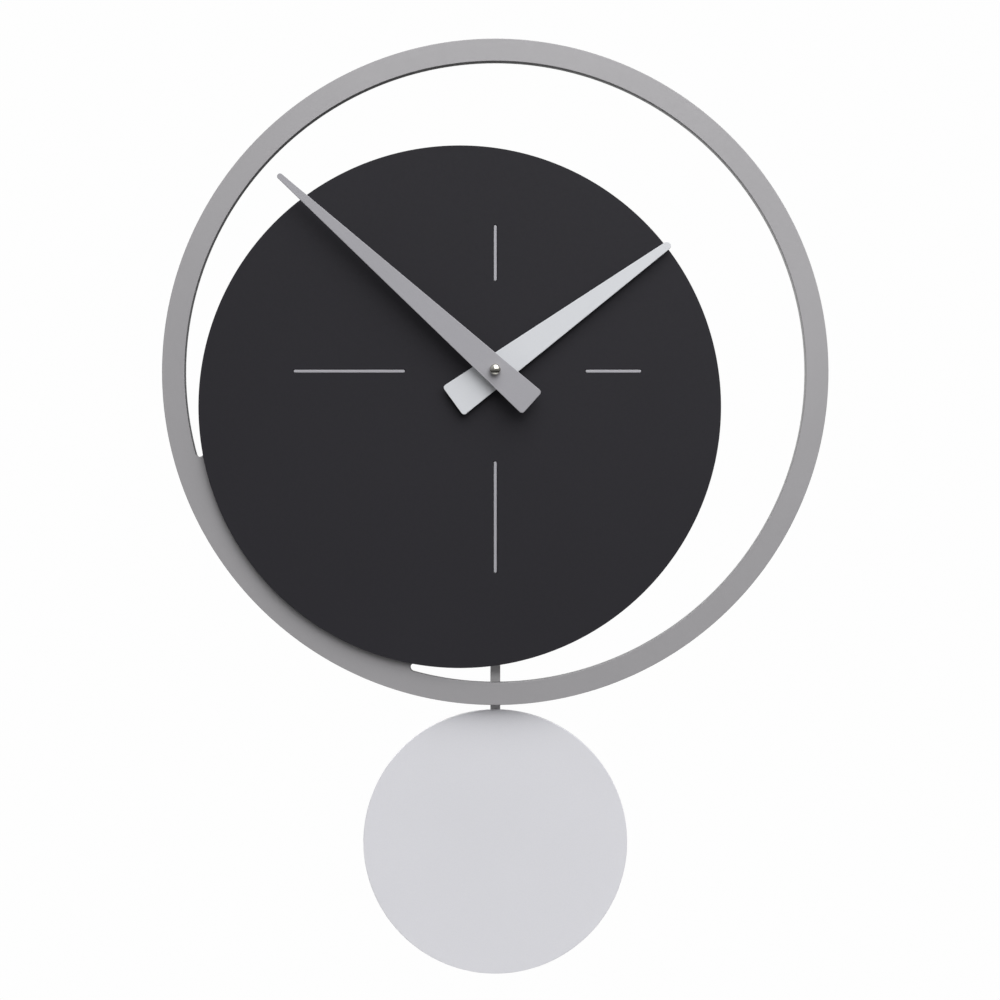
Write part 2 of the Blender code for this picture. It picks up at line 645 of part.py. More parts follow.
def make_motion_works():
    """Cannon pinion, minute wheel, hour wheel and setting knob, in front of the middle plate."""
    cannon_phase = MINUTE_WHEEL_SIDE
    minute_phase = meshed(cannon_phase, CANNON_LEAVES, MINUTE_WHEEL_TEETH, MINUTE_WHEEL_SIDE)
    setting_phase = meshed(minute_phase, MINUTE_WHEEL_TEETH, SETTING_LEAVES, SETTING_SIDE)
    hour_phase = meshed(
        MINUTE_WHEEL_SIDE + 180, MINUTE_WHEEL_LEAVES, HOUR_TEETH, MINUTE_WHEEL_SIDE + 180
    )
    centre_back = CENTRE_OUT - 2 * GAP
    cannon = toothed(
        "cannon_pinion", CANNON_LEAVES, MOTION_MODULE, cannon_phase, CANNON_OUT, 1.7 * MM,
        SPINDLE, "brass",
    )
    arbor = turned(
        "cannon_arbor",
        [
            (0, ARBOR_END),
            (ARBOR_RADIUS, ARBOR_END),
            (ARBOR_RADIUS, centre_back),
            (PIVOT_RADIUS, centre_back),
            (PIVOT_RADIUS, TRAIN_PLATE_OUT - GAP),
            (0, TRAIN_PLATE_OUT - GAP),
        ],
        "brass",
    )
    cannon = joined(cannon, arbor)

    minute_wheel = toothed(
        "minute_wheel", MINUTE_WHEEL_TEETH, MOTION_MODULE, minute_phase, MINUTE_WHEEL_OUT,
        WHEEL_WIDTH, MINUTE_WHEEL_AT,
    )
    minute_pinion = toothed(
        "minute_wheel_pinion", MINUTE_WHEEL_LEAVES, HOUR_MODULE, MINUTE_WHEEL_SIDE + 180,
        MINUTE_WHEEL_OUT + WHEEL_WIDTH / 2, HOUR_WHEEL_OUT - MINUTE_WHEEL_OUT + 0.6 * MM,
        MINUTE_WHEEL_AT,
    )
    post_hole = shaft(
        "minute_wheel_bore", SHAFT_RADIUS + GAP, CANNON_OUT, CASE_OUT, "white_plastic",
        MINUTE_WHEEL_AT,
    )
    minute_wheel = cut(joined(minute_wheel, minute_pinion), post_hole)

    hour_wheel = toothed(
        "hour_wheel", HOUR_TEETH, HOUR_MODULE, hour_phase, HOUR_WHEEL_OUT, WHEEL_WIDTH, SPINDLE
    )
    pipe = shaft(
        "hour_pipe", PIPE_RADIUS, HOUR_WHEEL_OUT + WHEEL_WIDTH / 2, PIPE_END, "white_plastic",
        sides=24,
    )
    bore = shaft("hour_bore", PIPE_BORE, CANNON_OUT, ARBOR_END, "white_plastic", sides=24)
    hour_wheel = cut(joined(hour_wheel, pipe), bore)

    knob_low, knob_high, stem_end = 0.4 * MM, 2.6 * MM, CANNON_OUT + 2.6 * MM
    setting = toothed(
        "setting_knob", SETTING_LEAVES, MOTION_MODULE, setting_phase, CANNON_OUT, 1.8 * MM,
        SETTING_AT,
    )
    stem = turned(
        "setting_stem",
        [
            (0, stem_end),
            (SHAFT_RADIUS, stem_end),
            (SHAFT_RADIUS, knob_high),
            (KNOB_RADIUS, knob_high),
            (KNOB_RADIUS, knob_low),
            (0, knob_low),
        ],
        "white_plastic",
        SETTING_AT,
        sides=24,
    )
    setting = joined(setting, stem)
    on_axis("minute_wheel_axis", MINUTE_WHEEL_AT, MINUTE_WHEEL_AT[1], [minute_wheel])
    on_axis("setting_axis", SETTING_AT, SETTING_AT[1], [setting])
    return cannon, hour_wheel


def make_train():
    """Centre, third, second and intermediate wheels and the rotor, each driven by the next."""
    centre_phase = THIRD_SIDE
    third_leaf = meshed(centre_phase, CENTRE_TEETH, THIRD_LEAVES, THIRD_SIDE)
    second_leaf = meshed(SECOND_SIDE, THIRD_TEETH, SECOND_LEAVES, SECOND_SIDE)
    intermediate_leaf = meshed(
        INTERMEDIATE_SIDE, SECOND_TEETH, INTERMEDIATE_LEAVES, INTERMEDIATE_SIDE
    )
    rotor_leaf = meshed(ROTOR_SIDE, INTERMEDIATE_TEETH, ROTOR_LEAVES, ROTOR_SIDE)

    centre = toothed(
        "centre_wheel", CENTRE_TEETH, TRAIN_MODULE, centre_phase, CENTRE_OUT, WHEEL_WIDTH, SPINDLE
    )
    hub = shaft("centre_hub", 3.0 * MM, CENTRE_OUT - GAP, CENTRE_OUT + 1.2 * MM, "white_plastic")
    bore = shaft("centre_bore", ARBOR_RADIUS + GAP, SECOND_OUT, CANNON_OUT, "white_plastic")
    centre = cut(joined(centre, hub), bore)

    for name, middle, wheel, pinion in (
        (
            "third_wheel",
            THIRD_AT,
            (THIRD_TEETH, THIRD_MODULE, SECOND_SIDE, THIRD_OUT, WHEEL_WIDTH),
            (THIRD_LEAVES, TRAIN_MODULE, third_leaf, THIRD_OUT + 0.5 * MM, 2.5 * MM),
        ),
        (
            "second_wheel",
            SECOND_AT,
            (SECOND_TEETH, TRAIN_MODULE, INTERMEDIATE_SIDE, SECOND_OUT, WHEEL_WIDTH),
            (SECOND_LEAVES, THIRD_MODULE, second_leaf, SECOND_OUT + 0.5 * MM, 2.7 * MM),
        ),
        (
            "intermediate_wheel",
            INTERMEDIATE_AT,
            (INTERMEDIATE_TEETH, TRAIN_MODULE, ROTOR_SIDE, INTERMEDIATE_OUT, 0.8 * MM),
            (
                INTERMEDIATE_LEAVES, TRAIN_MODULE, intermediate_leaf,
                INTERMEDIATE_OUT + 0.4 * MM, 2.5 * MM,
            ),
        ),
    ):
        wheel = wheel_with_pinion(name, middle, wheel, pinion)
        on_axis(f"{name}_axis", middle, middle[1], [wheel])

    rotor = toothed(
        "rotor_pinion", ROTOR_LEAVES, TRAIN_MODULE, rotor_leaf, INTERMEDIATE_OUT - 0.3 * MM,
        1.4 * MM, ROTOR_AT,
    )
    rotor = joined(rotor, train_arbor("rotor_arbor", ROTOR_AT))
    magnet = tube(
        "rotor_magnet", SHAFT_RADIUS + GAP, ROTOR_MAGNET_RADIUS, STATOR_OUT - 1.4 * MM,
        STATOR_OUT + STATOR_THICKNESS + 1.4 * MM, "magnet", ROTOR_AT, sides=24,
    )
    on_axis("rotor_axis", ROTOR_AT, ROTOR_AT[1], [rotor, magnet])
    return centre


def make_bearing_plates():
    """The plates in front of and behind the train, with a hole for each pivot and arbor."""
    pivots = [THIRD_AT, SECOND_AT, INTERMEDIATE_AT, ROTOR_AT]
    holes = [circle(at, PIVOT_RADIUS + GAP, 12) for at in pivots]
    stem = circle(SETTING_AT, SHAFT_RADIUS + GAP, 12)
    half, low = INSIDE_HALF - GAP, CHAMBER_LOW + GAP
    for name, out, top, arbor_hole in (
        ("middle_plate", MIDDLE_PLATE_OUT, STATOR_HIGH, ARBOR_RADIUS + GAP),
        ("train_plate", TRAIN_PLATE_OUT, CHAMBER_HIGH - GAP, PIVOT_RADIUS + GAP),
    ):
        edge = rectangle(-half, half, low, top)
        outlines = [edge, circle(SPINDLE, arbor_hole), stem, *holes]
        flat(name, outlines, "white_plastic", out, PLATE_WEB)


# ---------------------------------------------------------------- motor and electrics


def make_motor():
    left, right, leg = STATOR_LEFT, STATOR_RIGHT, STATOR_LEG
    top = COIL_AT + CORE_HEIGHT / 2
    outline = [
        (left, STATOR_LOW),
        (right, STATOR_LOW),
        (right, top),
        (right - leg, top),
        (right - leg, STATOR_HIGH),
        (left + leg, STATOR_HIGH),
        (left + leg, top),
        (left, top),
    ]
    screw_radius = 0.6 * MM
    screws = [(left + leg / 2, COIL_AT), (right - leg / 2, COIL_AT)]
    screw_holes = [circle(at, screw_radius + GAP, 12) for at in screws]
    rotor_hole = circle(ROTOR_AT, ROTOR_MAGNET_RADIUS + GAP, 24)
    flat("stator", [outline, rotor_hole, *screw_holes], "steel", STATOR_OUT, STATOR_THICKNESS)
    core = rectangle(left, right, COIL_AT - CORE_HEIGHT / 2, top)
    flat("coil_core", [core, *screw_holes], "steel", CORE_OUT, STATOR_THICKNESS)
    for side, at in zip(("left", "right"), screws):
        head = CORE_OUT + STATOR_THICKNESS + GAP
        profile = [
            (0, head + 0.7 * MM),
            (1.1 * MM, head + 0.7 * MM),
            (1.1 * MM, head),
            (screw_radius, head),
            (screw_radius, STATOR_OUT - 1.5 * MM),
            (0, STATOR_OUT - 1.5 * MM),
        ]
        turned(f"stator_screw_{side}", profile, "steel", at, sides=12)

    low, high = left + leg + GAP, right - leg - GAP
    middle = (0, -(CORE_OUT + STATOR_THICKNESS / 2), COIL_AT)
    tunnel = CORE_HEIGHT / 2 + GAP
    flange = 0.6 * MM
    barrel = tunnel * sqrt(2) + 0.2 * MM
    spool = turned(
        "coil_bobbin",
        [
            (0, high),
            (COIL_RADIUS, high),
            (COIL_RADIUS, high - flange),
            (barrel, high - flange),
            (barrel, low + flange),
            (COIL_RADIUS, low + flange),
            (COIL_RADIUS, low),
            (0, low),
        ],
        "white_plastic",
        middle,
        TO_RIGHT,
    )
    passage = block(
        "coil_passage",
        (low - GAP, high + GAP),
        (CORE_OUT - GAP, CORE_OUT + STATOR_THICKNESS + GAP),
        (COIL_AT - tunnel, COIL_AT + tunnel),
        "white_plastic",
    )
    cut(spool, passage)
    wound = COIL_RADIUS - 0.3 * MM
    tube(
        "coil_winding", barrel + GAP, wound, low + flange + GAP, high - flange - GAP, "copper",
        middle, TO_RIGHT,
    )


def make_electrics():
    """Circuit board with its chip and crystal, the battery and its two contacts."""
    board_out = COVER_INSIDE + 2.5 * MM
    left, right = SETTING_AT[0] + 7.5 * MM, INSIDE_HALF - 2.0 * MM
    low, high = INTERMEDIATE_AT[1] - 6.0 * MM, CHAMBER_HIGH - 1.0 * MM
    flat(
        "circuit_board", [rectangle(left, right, low, high)], "circuit_board", board_out,
        BOARD_THICKNESS,
    )
    chip_at = (left + 10.0 * MM, (low + high) / 2)
    flat(
        "clock_chip", [circle(chip_at, CHIP_RADIUS, 24)], "black_plastic",
        board_out - GAP - CHIP_THICKNESS, CHIP_THICKNESS,
    )
    crystal_at = (right - 12.0 * MM, -(board_out - GAP - CRYSTAL_RADIUS), (low + high) / 2)
    shaft(
        "quartz_crystal", CRYSTAL_RADIUS, 0, CRYSTAL_LENGTH, "steel", crystal_at, TO_RIGHT, 12
    )

    battery_height = (BAY_HIGH + BAY_LOW) / 2
    half = BATTERY_LENGTH / 2
    shoulder = half - BATTERY_NUB_LENGTH
    battery = turned(
        "battery",
        [
            (0, half),
            (BATTERY_NUB_RADIUS, half),
            (BATTERY_NUB_RADIUS, shoulder),
            (BATTERY_RADIUS, shoulder),
            (BATTERY_RADIUS, -half),
            (0, -half),
        ],
        "battery_sleeve",
        (0, -BATTERY_OUT, battery_height),
        TO_RIGHT,
        MEDIUM_ROUND,
    )
    on_axis("battery_slide", SPINDLE, battery_height, [battery])
    wall, bump = INSIDE_HALF - GAP, half + GAP
    for name, side in (("contact_negative", -1), ("contact_positive", 1)):
        route = [
            (wall, BATTERY_OUT + 5.0 * MM),
            (wall, BATTERY_OUT + 2.5 * MM),
            (bump + CONTACT_THICKNESS, BATTERY_OUT + 0.8 * MM),
            (bump + CONTACT_THICKNESS, BATTERY_OUT - 0.8 * MM),
            (wall, BATTERY_OUT - 2.5 * MM),
            (wall, BATTERY_OUT - 5.0 * MM),
        ]
        edge = route + [(x - CONTACT_THICKNESS, out) for x, out in reversed(route)]
        outline = [(side * x, out) for x, out in edge]
        strip(name, outline, "nickel", LEVEL, CONTACT_WIDTH, (0, 0, battery_height))


# ---------------------------------------------------------------- movement case


def make_case():
    """Front case with its three chambers, the rear cover and the hanger bracket."""
    case = block(
        "front_case",
        (-CASE_HALF, CASE_HALF),
        (COVER_INSIDE, CASE_OUT),
        (CASE_LOW, CASE_HIGH),
        "black_plastic",
    )
    inside = (-INSIDE_HALF, INSIDE_HALF)
    deep = (0, CASE_INSIDE)
    bay_deep = (0, BATTERY_OUT + BATTERY_RADIUS + 0.4 * MM)
    slot_half, slot_back = ROD_WIDTH / 2 + 5.0 * MM, ROCKER_OUT - 2.0 * MM
    cutters = [
        block("wheel_chamber", inside, deep, (CHAMBER_LOW, CHAMBER_HIGH), "black_plastic"),
        block("battery_bay", inside, bay_deep, (BAY_LOW, BAY_HIGH), "black_plastic"),
        block("drive_chamber", inside, deep, (DRIVE_LOW, DRIVE_HIGH), "black_plastic"),
        block(
            "rocker_slot",
            (-slot_half, slot_half),
            (slot_back, ROCKER_FRONT + 1.5 * MM),
            (CASE_LOW - CASE_WALL, DRIVE_LOW + CASE_WALL),
            "black_plastic",
        ),
        shaft("bush_hole", BUSH_HOLE, 0, 2 * CASE_OUT, "black_plastic", sides=MEDIUM_ROUND),
    ]
    post = shaft(
        "minute_wheel_post", SHAFT_RADIUS, CANNON_OUT, CASE_INSIDE + CASE_WALL / 2,
        "black_plastic", MINUTE_WHEEL_AT,
    )
    joined(cut(case, *cutters), post)

    knob_hole = circle(SETTING_AT, KNOB_RADIUS + 2 * GAP, MEDIUM_ROUND)
    window = BATTERY_LENGTH / 2 + 1.5 * MM
    bay = rectangle(-window, window, BAY_LOW + 0.6 * MM, BAY_HIGH - 0.6 * MM)
    edge = rectangle(-CASE_HALF, CASE_HALF, CASE_LOW, CASE_HIGH)
    flat("rear_cover", [edge, knob_hole, bay], "black_plastic", 0, COVER_THICKNESS)


def make_hanger():
    """A bent steel strip: it is clamped at the bush, runs back over the case and ends in a flange
    with a keyhole, near the wall."""
    front, back = HANGER_OUT + HANGER_THICKNESS, 2.0 * MM
    low, over = -BUSH_RADIUS - 8.0 * MM, CASE_HIGH + GAP
    top = over + HANGER_THICKNESS + HANGER_RISE
    outline = [
        (front, low),
        (front, over + HANGER_THICKNESS),
        (back + HANGER_THICKNESS, over + HANGER_THICKNESS),
        (back + HANGER_THICKNESS, top),
        (back, top),
        (back, over),
        (HANGER_OUT, over),
        (HANGER_OUT, low),
    ]
    bracket = strip("hanger_bracket", outline, "steel", SIDEWAYS, HANGER_WIDTH)
    bush_hole = shaft(
        "hanger_bush_hole", BUSH_HOLE, CASE_OUT, CASE_OUT + 5.0 * MM, "steel", sides=MEDIUM_ROUND
    )
    entry = (0, over + KEYHOLE_RISE)
    rest = (0, entry[1] + KEYHOLE_RISE)
    through = 6.0 * MM
    head = shaft("keyhole_entry", KEYHOLE_ENTRY, 0, through, "steel", entry, sides=24)
    slot = flat("keyhole_slot", [stadium(entry, rest, KEYHOLE_SLOT)], "steel", 0, through)
    cut(bracket, bush_hole, head, slot)


# ---------------------------------------------------------------- pendulum


def make_pendulum():
    """Rocker, hook, rod and bob, which swing together from a pin in the case."""
    pin_hole = circle((0, PIVOT_HEIGHT), ROCKER_PIN_RADIUS + GAP)
    magnet_seat = circle((0, MAGNET_HEIGHT), ROCKER_MAGNET_RADIUS + GAP, 24)
    peg_hole = circle((0, PEG_HEIGHT), PEG_RADIUS + GAP)
    beads = [(PEG_HEIGHT, 3.2 * MM), (MAGNET_HEIGHT, 6.0 * MM), (PIVOT_HEIGHT, 3.4 * MM)]
    rocker = flat(
        "rocker_arm", [beaded_bar(beads, 4.0 * MM), pin_hole, magnet_seat, peg_hole],
        "white_plastic", ROCKER_OUT, ROCKER_THICKNESS,
    )
    magnet = shaft(
        "rocker_magnet", ROCKER_MAGNET_RADIUS, ROCKER_OUT, ROCKER_FRONT, "magnet",
        (0, MAGNET_HEIGHT), sides=24,
    )
    head_back, peg_back = ROD_FRONT + GAP, ROCKER_OUT - 1.5 * MM
    peg = turned(
        "hook_peg",
        [
            (0, head_back + 0.8 * MM),
            (PEG_HEAD_RADIUS, head_back + 0.8 * MM),
            (PEG_HEAD_RADIUS, head_back),
            (PEG_RADIUS, head_back),
            (PEG_RADIUS, peg_back),
            (0, peg_back),
        ],
        "nickel",
        (0, PEG_HEIGHT),
    )
    rod_end = BOB_HEIGHT - ROD_PAST_MIDDLE
    rod = flat(
        "pendulum_rod", [stadium((0, rod_end), (0, PEG_HEIGHT), ROD_WIDTH), peg_hole],
        "silver_paint", ROD_OUT, ROD_THICKNESS,
    )
    bob = flat(
        "pendulum_bob", [circle((0, BOB_HEIGHT), BOB_RADIUS, LARGE_ROUND)], "pale_paint", BOB_OUT,
        BOB_THICKNESS,
    )

    half, inner = ROD_WIDTH / 2 + CLIP_MARGIN, ROD_WIDTH / 2 + GAP
    front, back = BOB_OUT - GAP, ROD_OUT - GAP
    rear = back - CLIP_THICKNESS
    channel = [
        (-half, rear), (half, rear), (half, front), (inner, front), (inner, back),
        (-inner, back), (-inner, front), (-half, front),
    ]
    clip = strip("bob_clip", channel, "steel", LEVEL, CLIP_LENGTH, (0, 0, BOB_HEIGHT))
    at = (0, BOB_HEIGHT)
    clip = cut(clip, shaft("screw_hole", CLIP_SCREW_RADIUS + GAP, 0, back + GAP, "steel", at))
    screw = turned(
        "bob_screw",
        [
            (0, back),
            (CLIP_SCREW_RADIUS, back),
            (CLIP_SCREW_RADIUS, rear - GAP),
            (CLIP_SCREW_HEAD, rear - GAP),
            (CLIP_SCREW_HEAD, rear - GAP - 1.6 * MM),
            (0, rear - GAP - 1.6 * MM),
        ],
        "steel",
        at,
    )
    on_axis(
        "pendulum_axis", SPINDLE, PIVOT_HEIGHT, [rocker, magnet, peg, rod, bob, clip, screw]
    )


def make_drive():
    """What keeps the pendulum swinging: its pin, and the coil and board in the case."""
    shaft(
        "rocker_pin", ROCKER_PIN_RADIUS, COVER_INSIDE + GAP, CASE_INSIDE - GAP, "steel",
        (0, PIVOT_HEIGHT),
    )
    at = (0, MAGNET_HEIGHT)
    low, high, flange = ROCKER_FRONT + 0.9 * MM, CASE_INSIDE - GAP, 0.6 * MM
    bore, barrel = 2.0 * MM, 3.0 * MM
    turned(
        "drive_bobbin",
        [
            (bore, high),
            (DRIVE_COIL_RADIUS, high),
            (DRIVE_COIL_RADIUS, high - flange),
            (barrel, high - flange),
            (barrel, low + flange),
            (DRIVE_COIL_RADIUS, low + flange),
            (DRIVE_COIL_RADIUS, low),
            (bore, low),
        ],
        "white_plastic",
        at,
        sides=MEDIUM_ROUND,
    )
    tube(
        "drive_winding", barrel + GAP, DRIVE_COIL_RADIUS - 0.5 * MM, low + flange + GAP,
        high - flange - GAP, "copper", at, sides=MEDIUM_ROUND,
    )
    board = rectangle(11.0 * MM, INSIDE_HALF - 2.0 * MM, DRIVE_LOW + 4.0 * MM, DRIVE_HIGH - 4.0 * MM)
    flat("drive_board", [board], "circuit_board", COVER_INSIDE + 4.0 * MM, 0.8 * MM)


# ---------------------------------------------------------------- the whole clock


def make_clock():
    make_ring_plate()
    make_dial()
    make_clamping()
    make_case()
    make_hanger()
    make_bearing_plates()
    make_motor()
    make_electrics()
    make_pendulum()
    make_drive()
    cannon, hour_wheel = make_motion_works()
    centre = make_train()
    hour_sizes = (HOUR_REACH, HOUR_TAIL, HOUR_TIP_WIDTH, HOUR_TAIL_WIDTH)
    minute_sizes = (MINUTE_REACH, MINUTE_TAIL, MINUTE_TIP_WIDTH, MINUTE_TAIL_WIDTH)
    hour_bore = PIPE_RADIUS + GAP
    hour_front = HOUR_HAND_OUT + HAND_THICKNESS
    hour = [
        make_hand("hour_hand", "pale_paint", HOUR_HAND_OUT, hour_bore, HOUR_ANGLE, hour_sizes),
        collet("hour_hand_collet", hour_bore, hour_front + GAP, PIPE_END - GAP),
        hour_wheel,
    ]
    minute = [
        make_hand(
            "minute_hand", "silver_paint", MINUTE_HAND_OUT, PIPE_BORE, MINUTE_ANGLE, minute_sizes
        ),
        collet("minute_hand_collet", PIPE_BORE, PIPE_END + GAP, MINUTE_HAND_OUT - GAP),
        make_cap_nut(),
        cannon,
        centre,
    ]
    on_axis("hour_axis", SPINDLE, 0, hour)
    on_axis("minute_axis", SPINDLE, 0, minute)


clear_scene()
CLOCK = new_collection("pendulum_wall_clock")
TOOLS = new_collection("joining_and_cutting_shapes")
make_clock()
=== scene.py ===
"""Looks of the pendulum wall clock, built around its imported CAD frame.

A silver ring plate carries a charcoal dial disc with four let-in marks. Two tapered hands turn on
a spindle held by a brass nut. Behind the plate sit the movement case, its battery and its hanger,
and a pendulum with a pale bob swings below it.

Units are metres and +Z is up. The clock faces -Y. "Out" is the distance from the wall towards the
viewer, so y = -out. Outlines are drawn in x and z.
"""

import logging
from dataclasses import dataclass
from enum import Enum
from functools import partial
from math import acos, asin, cos, degrees, pi, radians, sin, sqrt, tau
from typing import Any, Callable, Iterable, Sequence

import bmesh
import bpy
from mathutils import Matrix, Vector

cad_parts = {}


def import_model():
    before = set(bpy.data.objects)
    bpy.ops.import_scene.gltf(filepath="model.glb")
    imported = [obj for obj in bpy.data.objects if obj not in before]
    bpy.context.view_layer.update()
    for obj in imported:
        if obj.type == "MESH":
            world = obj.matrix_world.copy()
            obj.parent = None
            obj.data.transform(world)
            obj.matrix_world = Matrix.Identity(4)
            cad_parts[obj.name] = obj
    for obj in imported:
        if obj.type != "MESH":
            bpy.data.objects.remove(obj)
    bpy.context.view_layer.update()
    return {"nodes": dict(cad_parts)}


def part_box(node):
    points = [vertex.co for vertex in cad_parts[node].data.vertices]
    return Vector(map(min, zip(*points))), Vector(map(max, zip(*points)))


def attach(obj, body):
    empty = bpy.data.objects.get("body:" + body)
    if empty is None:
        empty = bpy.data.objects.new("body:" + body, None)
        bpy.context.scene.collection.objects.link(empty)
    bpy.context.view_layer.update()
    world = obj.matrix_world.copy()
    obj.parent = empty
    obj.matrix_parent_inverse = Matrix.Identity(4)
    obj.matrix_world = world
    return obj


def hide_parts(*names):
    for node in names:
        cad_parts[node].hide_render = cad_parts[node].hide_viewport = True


frame: dict[str, Any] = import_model()

MM = 0.001
GAP = 0.3 * MM  # left between pieces that touch or run in each other
SAME = 1e-6  # points nearer than this are one point
HOLE_STEPS = 48  # sides of a round hole
SPINDLE = (0.0, 0.0)
FACING = Vector((0, -1, 0))  # straight out from the wall
Place = tuple[float, float]  # x and z
Colour = tuple[float, float, float]
Draw = Callable[[bmesh.types.BMesh, float], None]  # draws outlines in a bmesh, at a distance out

log = logging.getLogger("pendulum_clock")


# ------------------------------------------------------------------ finishes


def linear(*levels: float) -> Colour:
    """Turns a colour of 0 to 255 display levels into linear values.

    Args:
        levels: red, green and blue.

    Returns:
        The same colour in linear light.
    """
    shares = (level / 255 for level in levels)
    return tuple(s / 12.92 if s <= 0.04045 else ((s + 0.055) / 1.055) ** 2.4 for s in shares)


class Blend(Enum):
    """How two colours are blended."""

    MIX = "MIX"
    MULTIPLY = "MULTIPLY"


class Brushwork:
    """The node tree of one finish, with short ways to add its patterns."""

    def __init__(self, name: str) -> None:
        """Starts a material with a Principled shader.

        Args:
            name: name of the material.
        """
        self.material = bpy.data.materials.new(name)
        self.material.use_nodes = True
        self.tree = self.material.node_tree
        self.shader = self.tree.nodes["Principled BSDF"]
        self.place = self.add("ShaderNodeTexCoord").outputs["Object"]

    def add(self, kind: str, **settings: Any) -> bpy.types.Node:
        """Adds a node.

        Args:
            kind: type of the node.
            settings: properties of the node, by name.

        Returns:
            The new node.
        """
        node = self.tree.nodes.new(kind)
        for key, value in settings.items():
            setattr(node, key, value)
        return node

    def feed(self, socket: bpy.types.NodeSocket, value: Any) -> None:
        """Joins a socket to another one, or sets its value.

        Args:
            socket: an input.
            value: an output socket, a number, or a sequence of numbers.
        """
        if isinstance(value, bpy.types.NodeSocket):
            self.tree.links.new(value, socket)
        elif socket.type == "RGBA":
            socket.default_value = (*value, 1.0) if len(value) == 3 else value
        else:
            socket.default_value = value

    def surface(self, **inputs: Any) -> None:
        """Sets or joins inputs of the shader.

        Args:
            inputs: values or sockets by the input's name, such as Base_Color.
        """
        for key, value in inputs.items():
            self.feed(self.shader.inputs[key.replace("_", " ")], value)

    def stretched(self, scale: Sequence[float], turn: Sequence[float] = (0, 0, 0)) -> Any:
        """The place on the piece, stretched for a grain with a direction.

        Args:
            scale: along each axis.
            turn: round each axis, in radians.

        Returns:
            A socket of coordinates.
        """
        mapping = self.add("ShaderNodeMapping")
        self.feed(mapping.inputs["Vector"], self.place)
        self.feed(mapping.inputs["Rotation"], turn)
        self.feed(mapping.inputs["Scale"], scale)
        return mapping.outputs["Vector"]

    def noise(self, scale: float, detail: float = 2.0, at: Any = None) -> Any:
        """Cloudy noise.

        Args:
            scale: cells in a metre.
            detail: octaves of finer noise.
            at: coordinates, or None for the place on the piece.

        Returns:
            A socket around 0.5.
        """
        node = self.add("ShaderNodeTexNoise")
        self.feed(node.inputs["Vector"], at or self.place)
        self.feed(node.inputs["Scale"], scale)
        self.feed(node.inputs["Detail"], detail)
        self.feed(node.inputs["Roughness"], 0.5)
        return node.outputs["Fac"]

    def ranged(
        self, value: Any, low: float, high: float, start: float = 0.3, end: float = 0.7
    ) -> Any:
        """Maps one range of values to another, held at both ends.

        Args:
            value: a socket.
            low: what start becomes.
            high: what end becomes.
            start: value that becomes low.
            end: value that becomes high.

        Returns:
            A socket between low and high.
        """
        node = self.add("ShaderNodeMapRange")
        for key, number in (
            ("Value", value), ("From Min", start), ("From Max", end),
            ("To Min", low), ("To Max", high),
        ):
            self.feed(node.inputs[key], number)
        return node.outputs["Result"]

    def blend(self, factor: Any, first: Any, second: Any, how: Blend = Blend.MIX) -> Any:
        """Blends two colours.

        Args:
            factor: share of the second one.
            first: a colour or a socket.
            second: a colour or a socket.
            how: the way that they are blended.

        Returns:
            A colour socket.
        """
        node = self.add("ShaderNodeMix", data_type="RGBA", blend_type=how.value)
        self.feed(node.inputs["Factor"], factor)
        self.feed(node.inputs[6], first)
        self.feed(node.inputs[7], second)
        return node.outputs[2]

    def times(self, first: Any, second: Any) -> Any:
        """Multiplies two colours."""
        return self.blend(1.0, first, second, Blend.MULTIPLY)

    def facing(self) -> Any:
        """How squarely a face looks to the front or the back.

        Returns:
            A socket from 0 to 1.
        """
        split = self.add("ShaderNodeSeparateXYZ")
        self.feed(split.inputs["Vector"], self.add("ShaderNodeTexCoord").outputs["Normal"])
        size = self.add("ShaderNodeMath", operation="ABSOLUTE")
        self.feed(size.inputs[0], split.outputs["Y"])
        return size.outputs[0]

    def bump(self, height: Any, depth: float) -> None:
        """Raises the surface.

        Args:
            height: a socket from 0 to 1.
            depth: metres that a height of 1 stands for.
        """
        node = self.add("ShaderNodeBump")
        self.feed(node.inputs["Height"], height)
        self.feed(node.inputs["Distance"], depth)
        self.feed(node.inputs["Strength"], 1.0)
        self.surface(Normal=node.outputs["Normal"])


def shade_of(colour: Colour, share: float) -> Colour:
    """The colour, times share."""
    return tuple(level * share for level in colour)


@dataclass(frozen=True)
class SatinPaint:
    """Sprayed satin paint on board or sheet: fine pigment grain, slow drift, orange peel and
    painted shade on its edges.
    """

    name: str
    colour: Colour
    metallic: float = 0.0
    roughness: float = 0.45
    grain: float = 0.05
    drift: float = 0.03
    peel: float = 0.02 * MM
    specular: float = 0.5
    edge: float = 1.0  # share of the colour on sawn edges: painted shade, a darker colour where side walls stand in shade

    def make(self) -> bpy.types.Material:
        """Builds the material.

        Returns:
            The material.
        """
        work = Brushwork(self.name)
        grain = work.ranged(work.noise(2600, 3), 0.0, 1.0)
        drift = work.ranged(work.noise(9, 2), 0.0, 1.0)
        fine = work.blend(
            grain, shade_of(self.colour, 1 - self.grain), shade_of(self.colour, 1 + self.grain)
        )
        broad = work.blend(drift, (1 - self.drift,) * 3, (1 + self.drift,) * 3)
        colour = work.times(fine, broad)
        # Painted shade: faces that look sideways, such as edges and the walls of holes, get a
        # darker colour.
        if self.edge < 1.0:
            flat = work.ranged(work.facing(), 0.0, 1.0, 0.35, 0.85)
            colour = work.times(colour, work.blend(flat, (self.edge,) * 3, (1.0,) * 3))
        work.surface(
            Base_Color=colour,
            Metallic=self.metallic,
            Specular_IOR_Level=self.specular,
            Roughness=work.ranged(
                work.noise(420, 4), self.roughness - 0.04, self.roughness + 0.05
            ),
        )
        work.bump(work.noise(620, 2), self.peel)
        return work.material


